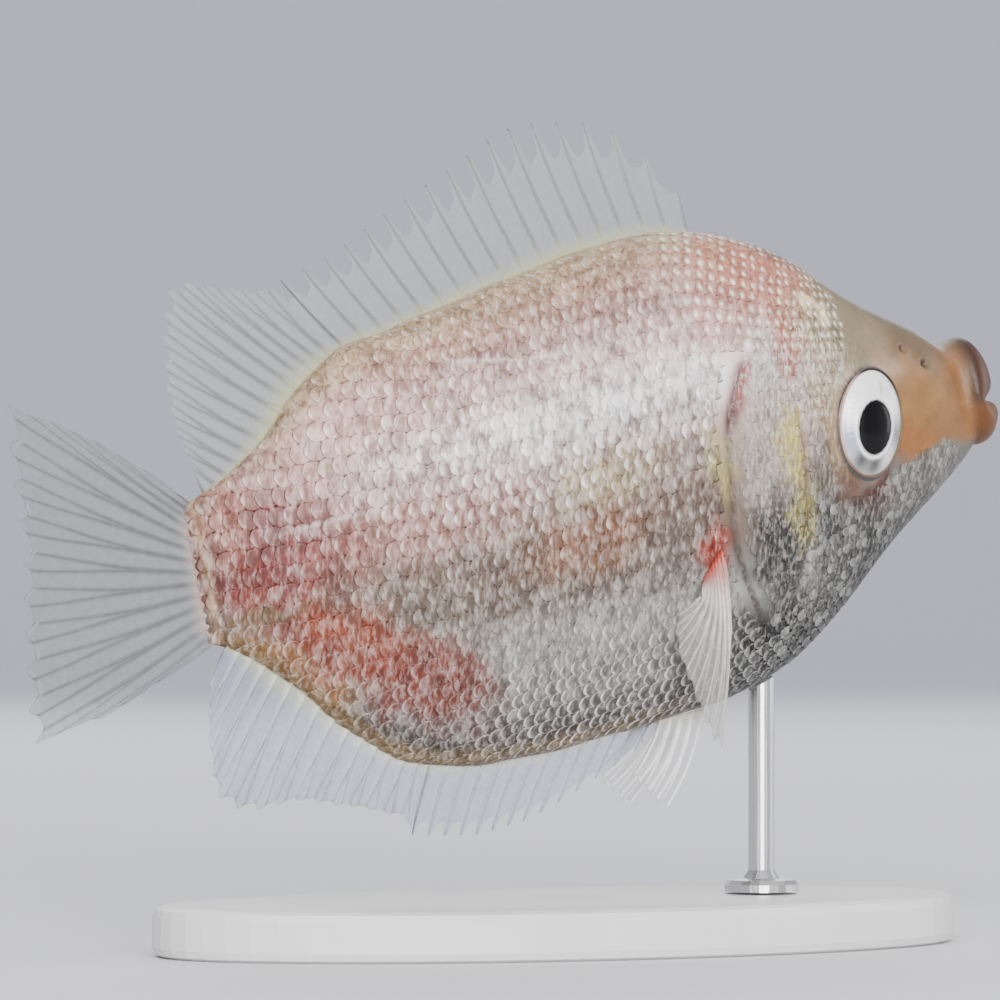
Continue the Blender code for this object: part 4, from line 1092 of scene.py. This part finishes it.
def finSurface(feet, tips, form):
    # middle points [column, row], thickness, how much of each point is ray, and how far out
    feet, tips = np.array(feet), np.array(tips)
    forks = np.broadcast_to(form["fork"], len(feet))
    notches = np.broadcast_to(form["notch"], len(feet))
    steps = np.linspace(0, 1, form["rows"])
    down = steps[:, None]
    spread = towards(*form["forkSpread"], softStep(form["forkStart"], 1.0, steps))
    half, ray, skin = (towards(*form[key], steps) for key in ("rayHalf", "ray", "membrane"))
    columns = []
    for i in range(len(feet) - 1):
        left, right = spread * forks[i], 1 - spread * forks[i + 1]
        forked = forks[i] > 0 or forks[i + 1] > 0
        gap = (feet[i + 1] - feet[i]) * (1 - down) + (tips[i + 1] - tips[i]) * down
        gap = np.linalg.norm(gap, axis=1) + 0.05
        for q in (softQ if forked else spineQ) + ([1.0] if i == len(feet) - 2 else []):
            u = placeAcross(q, left, right) if forked else np.full(len(steps), q)
            notch = notches[i + (q > 0.5)] * (0.55 + 0.45 * q)
            notch = notch * softStep(0.02, form["notchWidth"], min(q, 1 - q) / 0.5)
            foot = towards(feet[i], feet[i + 1], u[:, None])
            reach = towards(towards(tips[i], tips[i + 1], u[:, None]), foot, notch) - foot
            aside = np.stack([-reach[:, 2], np.zeros(len(steps)), reach[:, 0]], -1)
            line = foot + reach * down + aside * form["bend"] * down * (1 - down)
            line[:, 1] += form["wave"] * steps**2 * np.sin((i + u) * 1.35 + 2.0 * steps)
            line[:, 1] += form["ripple"] * np.sin(u * math.pi) ** 2 * steps * (1 if i % 2 else -1)
            near = np.maximum(hump((u - left) * gap, 0, half), hump((u - right) * gap, 0, half))
            run = steps * np.linalg.norm(reach, axis=1)
            columns.append((line, towards(skin, ray, near), near, run))
    return [np.array(part) for part in zip(*columns)]


def finSheet(name, made, form, material):
    middle, thickness, rayness, runs = made
    columns, rows, _ = middle.shape
    count = columns * rows
    out = np.cross(np.gradient(middle, axis=0), np.gradient(middle, axis=1))
    out /= np.linalg.norm(out, axis=2, keepdims=True) + 1e-9
    half = out * thickness[:, :, None] / 2
    points = np.concatenate([(middle + half).reshape(-1, 3), (middle - half).reshape(-1, 3)])
    index = np.arange(count).reshape(columns, rows)
    front = np.stack([index[:-1, :-1], index[1:, :-1], index[1:, 1:], index[:-1, 1:]], -1)
    front = front.reshape(-1, 4)
    rim = np.concatenate([index[:, 0], index[-1, 1:], index[-2::-1, -1], index[0, -2:0:-1]])
    after = np.roll(rim, -1)
    edge = np.stack([rim, rim + count, after + count, after], -1)
    faces = np.concatenate([front, front[:, ::-1] + count, edge]).tolist()
    reach = np.broadcast_to(np.linspace(0, 1, rows), (columns, rows))
    root = 1 - softStep(0.0, form["rootReach"], reach)
    colour = blend(form["membraneColour"], rayness, form["rayColour"])
    colour = blend(colour, root, form["rootColour"]).reshape(-1, 3)
    solid = towards(form["membraneAlpha"], form["rayAlpha"], rayness)
    numbers = {"ray": rayness, "solid": np.maximum(solid, form["rootAlpha"] * root), "run": runs}
    return makePiece(name, points, faces, material, np.tile(colour, (2, 1)),
                     {key: np.tile(part.ravel(), 2) for key, part in numbers.items()})


dorsalForm = {
    "spines": 18, "foot": (70.7, 23.2), "softFirst": False, "spineNotch": 0.34,
    "length": [(0.0, 4.6), (0.06, 9.8), (0.13, 13.4), (0.24, 15.8), (0.36, 16.7), (0.5, 15.2),
               (0.7, 13.2), (0.85, 11.6), (1.0, 11.0)],
    "lean": [(0.0, 4.0), (0.2, 12.0), (0.45, 17.0), (0.7, 25.0), (1.0, 35.0)],
    "softFeet": [(0.0, 21.4), (0.5, 13.0), (1.0, 2.0)],
    "softTips": [(13.8, 31.2), (10.2, 32.2), (7.2, 33.2), (4.6, 34.1), (2.3, 33.4), (1.2, 31.0),
                 (0.5, 28.2), (0.0, 25.2), (-0.3, 22.4), (-0.3, 19.7), (0.0, 17.1),
                 (0.5, 14.9), (1.0, 12.9), (1.3, 11.2)],
    "look": {"bend": 0.07, "ripple": 0.12},
}
analForm = {
    "spines": 14, "foot": (24.2, 54.0), "softFirst": True, "spineNotch": 0.24,
    "length": [(0.0, 8.3), (0.35, 8.9), (0.6, 8.6), (0.8, 6.6), (1.0, 3.8)],
    "lean": [(0.0, 27.0), (0.5, 34.0), (1.0, 42.0)],
    "softFeet": [(0.0, 1.2), (0.5, 11.5), (1.0, 22.5)],
    "softTips": [(-1.8, -13.0), (-2.6, -16.6), (-3.3, -20.2), (-3.6, -23.6), (-3.3, -26.4),
                 (-1.3, -28.2), (1.4, -28.9), (4.0, -28.9), (6.7, -29.0), (9.0, -29.7),
                 (11.2, -30.6), (13.3, -31.2), (15.4, -32.0), (17.6, -33.0), (19.8, -34.0)],
    "look": {"bend": -0.05, "ripple": 0.1, "membraneColour": rgb(164, 172, 186),
             "rayColour": rgb(146, 152, 164), "rootColour": rgb(190, 190, 168),
             "membraneAlpha": 0.3},
}
softNotch, footDepth = 0.06, 0.5


def spineLines(form, outline, up):
    # foot and tip of each spine, leaning back from square to the axis
    length, lean = curveThrough(form["length"]), curveThrough(form["lean"])
    feet, tips = [], []
    for place in np.linspace(0, 1, form["spines"]):
        along = towards(*form["foot"], place)
        foot = np.array([along, 0.0, float(outline(along)) - up * footDepth])
        angle = math.radians(float(lean(place)))
        way = np.array([-math.sin(angle), 0.0, up * math.cos(angle)])
        feet.append(foot)
        tips.append(foot + way * (float(length(place)) + footDepth))
    return feet, tips


def softLines(form, outline, up):
    tips = [np.array([tip[0], 0.0, tip[1]]) for tip in form["softTips"]]
    alongs = curveThrough(form["softFeet"])(np.arange(len(tips)) / (len(tips) - 1))
    feet = [np.array([along, 0.0, float(outline(along)) - up * footDepth]) for along in alongs]
    return feet, tips


def unpairedFin(name, form, outline, up, material):
    # one sheet of spines and soft rays, along the back or the belly
    parts = [(*spineLines(form, outline, up), 0.0, form["spineNotch"]),
             (*softLines(form, outline, up), 1.0, softNotch)]
    if form["softFirst"]:
        parts.reverse()
    feet, tips = parts[0][0] + parts[1][0], parts[0][1] + parts[1][1]
    counts = [len(part[0]) for part in parts]
    look = dict(finCommon, fork=np.repeat([part[2] for part in parts], counts),
                notch=np.repeat([part[3] for part in parts], counts), **form["look"])
    return finSheet(name, finSurface(feet, tips, look), look, material)


def makeDorsal(material):
    fin = unpairedFin("dorsalFin", dorsalForm, backAt, 1, material)
    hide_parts("dorsal_fin_spiny", "dorsal_fin_soft")


def makeAnal(material):
    fin = unpairedFin("analFin", analForm, bellyAt, -1, material)
    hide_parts("anal_fin_spiny", "anal_fin_soft")


tailForm = {
    "rootAlong": 0.2, "rootHalf": 8.2,
    "margin": [(-3.4, 12.2), (-9.6, 17.4), (-15.0, 21.2), (-20.2, 24.3), (-20.9, 19.5),
               (-21.2, 14.9), (-21.6, 10.4), (-22.1, 6.0), (-22.7, 1.7), (-23.3, -2.6),
               (-24.1, -6.9), (-24.9, -11.3), (-24.7, -15.2), (-15.4, -14.0), (-6.0, -10.7)],
    "look": {"notch": 0.06, "fork": 1.0, "forkStart": 0.22, "bend": 0.04, "wave": 0.5,
             "ray": (0.8, 0.28), "rayHalf": (0.3, 0.15), "rayColour": rgb(126, 128, 128),
             "membraneColour": rgb(150, 154, 154), "membraneAlpha": 0.26,
             "rootColour": rgb(206, 186, 174), "rootReach": 0.14, "rootAlpha": 0.9, "rows": 36},
}


def makeTail(material):
    heights = np.linspace(tailForm["rootHalf"], -tailForm["rootHalf"], len(tailForm["margin"]))
    feet = [np.array([tailForm["rootAlong"], 0.0, height]) for height in heights]
    tips = [np.array([along, 0.0, height]) for along, height in tailForm["margin"]]
    look = dict(finCommon, **tailForm["look"])
    fin = finSheet("tailFin", finSurface(feet, tips, look), look, material)
    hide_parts("caudal_fin")


pectoralForm = {
    "root": (61.1, -11.8), "rootWay": (2.76, 3.68), "proud": 0.35, "standOff": 2.0, "across": 10.8,
    "tips": [(57.5, -33.4), (56.7, -32.2), (56.0, -30.0), (55.3, -27.2), (54.7, -24.2),
             (54.2, -21.2), (54.2, -18.4), (55.2, -16.0)],
    "look": {"fork": 1.0, "forkStart": 0.35, "rayHalf": (0.26, 0.12), "ray": (1.0, 0.28),
             "membrane": (0.7, 0.14), "rayColour": rgb(200, 196, 190),
             "membraneColour": rgb(178, 176, 172), "rootColour": rgb(206, 92, 74),
             "rootReach": 0.3, "rootAlpha": 0.95, "membraneAlpha": 0.3, "rayAlpha": 0.74,
             "rows": 32},
}


def makePectoral(side, word, material):
    feet, tips = [], []
    for away, tip in zip(np.linspace(0.5, -0.5, len(pectoralForm["tips"])), pectoralForm["tips"]):
        along, height = (root + away * way
                         for root, way in zip(pectoralForm["root"], pectoralForm["rootWay"]))
        across = float(flankAt(along, height)) + pectoralForm["proud"]
        feet.append(np.array([along, side * across, height]))
        tips.append(np.array([tip[0], side * pectoralForm["across"], tip[1]]))
    look = dict(finCommon, **pectoralForm["look"])
    made = finSurface(feet, tips, look)
    steps = np.linspace(0, 1, look["rows"])
    made[0][:, :, 1] += side * pectoralForm["standOff"] * np.sin(math.pi * steps)
    fin = finSheet("pectoralFin_" + word, made, look, material)
    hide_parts("pectoral_fin_" + word)


pelvicForm = {
    "feet": (59.8, 53.8), "across": 2.6, "spread": 2.6,
    "tips": [(51.4, -39.6), (50.4, -38.9), (49.6, -37.5), (48.6, -36.2), (47.6, -34.6)],
    "look": {"fork": (0.0, 1.0, 1.0, 1.0, 1.0), "bend": 0.25, "rows": 26, "notch": 0.07,
             "rayColour": rgb(228, 228, 226), "membraneColour": rgb(178, 180, 180),
             "rootColour": rgb(190, 184, 170), "rayAlpha": 0.7},
}


def makePelvic(side, word, material):
    across = side * pelvicForm["across"]
    feet, tips = [], []
    for share, tip in zip(np.linspace(0, 1, len(pelvicForm["tips"])), pelvicForm["tips"]):
        along = towards(*pelvicForm["feet"], share)
        feet.append(np.array([along, across, float(bellyAt(along)) + footDepth]))
        tips.append(np.array([tip[0], across + side * pelvicForm["spread"], tip[1]]))
    look = dict(finCommon, **pelvicForm["look"])
    fin = finSheet("pelvicFin_" + word, finSurface(feet, tips, look), look, material)
    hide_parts("pelvic_fin_" + word)


# Eyes
eyeLook = {"rings": 96, "spokes": 132, "opening": (4.55, 6.45), "pupilEdge": 0.5,
           "pupilAside": (-0.22, -0.6), "pupilSquash": (0.93, 0.95),
           "silver": rgb(252, 252, 251), "crease": rgb(120, 124, 122),
           "brightRing": rgb(244, 242, 236), "pupil": rgb(3, 4, 7), "rim": rgb(84, 66, 56)}
# painted shade on the silver iris, darker over its lower half and towards the front: place in the
# opening, spread, strength, colour
irisPaintedShade = [
    ((0.34, 0.66), 0.24, 0.4, rgb(176, 178, 182)), ((-0.75, -0.35), 0.34, 0.75, rgb(132, 146, 170)),
    ((-0.35, -0.72), 0.32, 0.9, rgb(66, 73, 82)), ((0.1, -0.78), 0.34, 0.9, rgb(62, 65, 66)),
    ((0.75, -0.15), 0.36, 0.8, rgb(104, 106, 106)),
]


def irisColour(forward, up, pupil, out):
    colour, edge = eyeLook["silver"], eyeLook["pupilEdge"]
    for (x, z), spread, strength, tone in irisPaintedShade:
        colour = blend(colour, strength * hump(np.hypot(forward - x, up - z), 0, spread), tone)
    ring = hump(pupil, edge + 0.04, 0.035) * (0.4 + 0.6 * softStep(0.3, -0.4, up))
    for name, amount in (("crease", 0.5 * hump(forward, 0.1, 0.05) * hump(up, 0.66, 0.14)),
                         ("brightRing", ring),
                         ("pupil", 1 - softStep(edge - 0.015, edge + 0.015, pupil)),
                         ("rim", 0.9 * softStep(0.97, 1.04, out))):
        colour = blend(colour, amount, eyeLook[name])
    return colour


# the iris's relief: the pupil's rim, the dip inside it, the groove at the edge and the folds
irisForm = {"pupilRim": 0.06, "pupilDip": 0.04, "edgeGroove": 0.1, "folds": 0.03,
            "foldCount": 46, "ringPower": 1.25, "streak": (6.0, 2.0)}


def eyeBall():
    # an eye's points, how far round each lies, and its distance from the pupil and the middle
    rings, spokes = eyeLook["rings"], eyeLook["spokes"]
    polar = math.pi * np.linspace(0, 1, rings + 1)[1:-1] ** irisForm["ringPower"]
    turned = np.arange(spokes) * 2 * math.pi / spokes
    polar, turned = np.meshgrid(polar, turned, indexing="ij")
    polar = np.concatenate([[0.0], polar.ravel(), [math.pi]])
    turned = np.concatenate([[0.0], turned.ravel(), [0.0]])
    unit = np.stack([np.sin(polar) * np.cos(turned), np.cos(polar),
                     np.sin(polar) * np.sin(turned)], -1)
    ball = unit * np.array(eyeForm["size"])
    wide, tall = eyeLook["opening"]
    out = np.hypot(ball[:, 0] / wide, ball[:, 2] / tall)
    x = (ball[:, 0] - eyeLook["pupilAside"][0]) / wide * eyeLook["pupilSquash"][0]
    z = (ball[:, 2] - eyeLook["pupilAside"][1]) / tall * eyeLook["pupilSquash"][1]
    pupil, edge = np.hypot(x, z), eyeLook["pupilEdge"]
    folds = softStep(edge + 0.08, edge + 0.2, pupil) * (1 - softStep(0.8, 0.95, out))
    folds = folds * np.sin(turned * irisForm["foldCount"])
    proud = (irisForm["pupilRim"] * hump(pupil, edge + 0.05, 0.05)
             - irisForm["pupilDip"] * hump(pupil, edge - 0.04, 0.05)
             - irisForm["edgeGroove"] * hump(out, 0.97, 0.06) + irisForm["folds"] * folds)
    seen = unit[:, 1] > 0
    return ball + unit * (proud * seen)[:, None], turned, pupil, out


def makeEye(side, word, material):
    ball, turned, pupil, out = eyeBall()
    wide, tall = eyeLook["opening"]
    colour = irisColour(ball[:, 0] / wide, ball[:, 2] / tall, pupil, out)
    points = eyePlace(side, *ball.T)
    turning, outward = irisForm["streak"]
    streak = np.stack([np.cos(turned) * turning, np.sin(turned) * turning, pupil * outward], -1)
    index = 1 + np.arange(len(ball) - 2).reshape(-1, eyeLook["spokes"])
    faces = tubeFaces(index, 0, len(ball) - 1)
    if side < 0:
        faces = [face[::-1] for face in faces]
    eye = makePiece("eyeball_" + word, points, faces, material, colour,
                    {"streak": streak})
    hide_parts("eye_" + word)


rimForm = {"turns": 160, "around": 14, "radius": 0.15, "out": 1.02, "lift": 0.04,
           "front": rgb(146, 126, 92), "top": rgb(92, 78, 70), "rear": rgb(212, 182, 174),
           "bottom": rgb(150, 122, 112)}


def makeEyeRim(side, word, material):
    # the thin fold of skin round the eye, which lies on the ball where the skin meets it
    turned, spun = np.meshgrid(np.linspace(0, 2 * math.pi, rimForm["turns"], endpoint=False),
                               np.linspace(0, 2 * math.pi, rimForm["around"], endpoint=False),
                               indexing="ij")
    onward, upward = np.cos(turned), np.sin(turned)
    size = np.array(eyeForm["size"])
    wide, tall = np.array(eyeLook["opening"]) * rimForm["out"]
    swell = rimForm["radius"] * (1 + 0.15 * np.sin(3 * turned + 1) * np.sin(5 * turned))
    forward = (wide + swell * np.cos(spun)) * onward
    up = (tall + swell * np.cos(spun)) * upward
    ball = size[1] * np.sqrt(np.clip(1 - (wide * onward / size[0]) ** 2
                                     - (tall * upward / size[2]) ** 2, 0, 1))
    proud = ball + rimForm["lift"] + swell * np.sin(spun)
    points = eyePlace(side, forward, proud, up).reshape(-1, 3)
    colour = blend(rimForm["front"], softStep(0.2, 0.9, upward), rimForm["top"])
    colour = blend(colour, 0.8 * softStep(0.3, 0.9, -onward), rimForm["rear"])
    colour = blend(colour, 0.8 * softStep(0.5, 0.95, -upward), rimForm["bottom"])
    index = np.arange(turned.size).reshape(turned.shape)
    after, over = np.roll(index, -1, axis=0), np.roll(index, -1, axis=1)
    faces = np.stack([index, over, np.roll(after, -1, axis=1), after], -1).reshape(-1, 4)
    if side < 0:
        faces = faces[:, ::-1]
    makePiece("eyeRim_" + word, points, faces.tolist(), material, colour.reshape(-1, 3))


def dressStand():
    for name, finish in (("stand_base", "standLacquer"), ("stand_rod", "standSteel")):
        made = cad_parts[name]
        made.data.materials.clear()
        made.data.materials.append(standMaterial(finish))


# Stage: one pale bowl all round, with soft lights
stageForm = {"floor": 1.5, "wall": 3.5, "height": 3.9, "turns": 96, "bends": 24,
             "colour": (0.66, 0.66, 0.69), "cloud": (2.0, 2.0, 0.5), "brighter": 1.04}


def makeStage():
    radius, turns = stageForm["wall"] - stageForm["floor"], stageForm["turns"]
    bend = np.linspace(0, math.pi / 2, stageForm["bends"] + 1)
    radii = np.append(stageForm["floor"] + radius * np.sin(bend), stageForm["wall"])
    heights = np.append(radius * (1 - np.cos(bend)), stageForm["height"])
    turned = np.arange(turns) * 2 * math.pi / turns
    rings = np.stack([np.outer(radii, np.cos(turned)), np.outer(radii, np.sin(turned)),
                      np.outer(heights, np.ones(turns))], -1)
    points = np.concatenate([[[0.0, 0.0, 0.0]], rings.reshape(-1, 3)])
    index = 1 + np.arange(len(radii) * turns).reshape(len(radii), turns)
    mesh = bpy.data.meshes.new("stageFloor")
    mesh.from_pydata(points.tolist(), [], tubeFaces(index, 0))
    mesh.shade_smooth()
    material, tree, shader = newMaterial("stagePaint", {"Roughness": 0.85})
    brighter = [value * stageForm["brighter"] for value in stageForm["colour"]]
    colour = mixColours(tree, noise(tree, *stageForm["cloud"]), stageForm["colour"], brighter)
    feed(tree, shader.inputs["Base Color"], colour)
    mesh.materials.append(material)
    floor = bpy.data.objects.new("stageFloor", mesh)
    bpy.context.collection.objects.link(floor)


lightForm = {
    # name: place, size, power, colour
    "keyLight": ((-0.5, -0.9, 0.55), 0.5, 12.0, (1.0, 0.98, 0.94)),
    "frontLight": ((-0.25, -1.1, 0.2), 0.5, 16.0, (1.0, 0.98, 0.95)),
    "backLight": ((0.3, 0.8, 0.6), 0.7, 4.0, (1.0, 1.0, 1.0)),
    "noseLight": ((1.1, -0.15, 0.3), 0.7, 5.0, (1.0, 0.99, 0.97)),
}
airForm = {"aim": (0.0, 0.0, 0.05), "Color": (0.9, 0.92, 1.0, 1.0), "Strength": 1.2}


def makeLights():
    for name, (place, size, power, colour) in lightForm.items():
        data = bpy.data.lights.new(name, "AREA")
        data.energy, data.size, data.color = power, size, colour
        light = bpy.data.objects.new(name, data)
        light.location = place
        aim = Vector(airForm["aim"]) - Vector(place)
        light.rotation_euler = aim.to_track_quat("-Z", "Y").to_euler()
        bpy.context.collection.objects.link(light)
    world = bpy.data.worlds.new("studioAir")
    world.use_nodes = True
    for socket in ("Color", "Strength"):
        world.node_tree.nodes["Background"].inputs[socket].default_value = airForm[socket]
    bpy.context.scene.world = world


makeCamera(cameraPlace)
makeStage()
makeLights()
print("camera, stage and lights made")
skins = skinMaterial()
makeSkin(skins)
makeScales(scaleMaterial())
fins = finMaterial()
makeDorsal(fins)
makeAnal(fins)
makeTail(fins)
for side, word in ((1, "left"), (-1, "right")):
    makePectoral(side, word, fins)
    makePelvic(side, word, fins)
print("fins made")
eyes = eyeMaterial()
for side, word in ((1, "left"), (-1, "right")):
    makeEye(side, word, eyes)
    makeEyeRim(side, word, skins)
dressStand()
print("eyes and stand made")
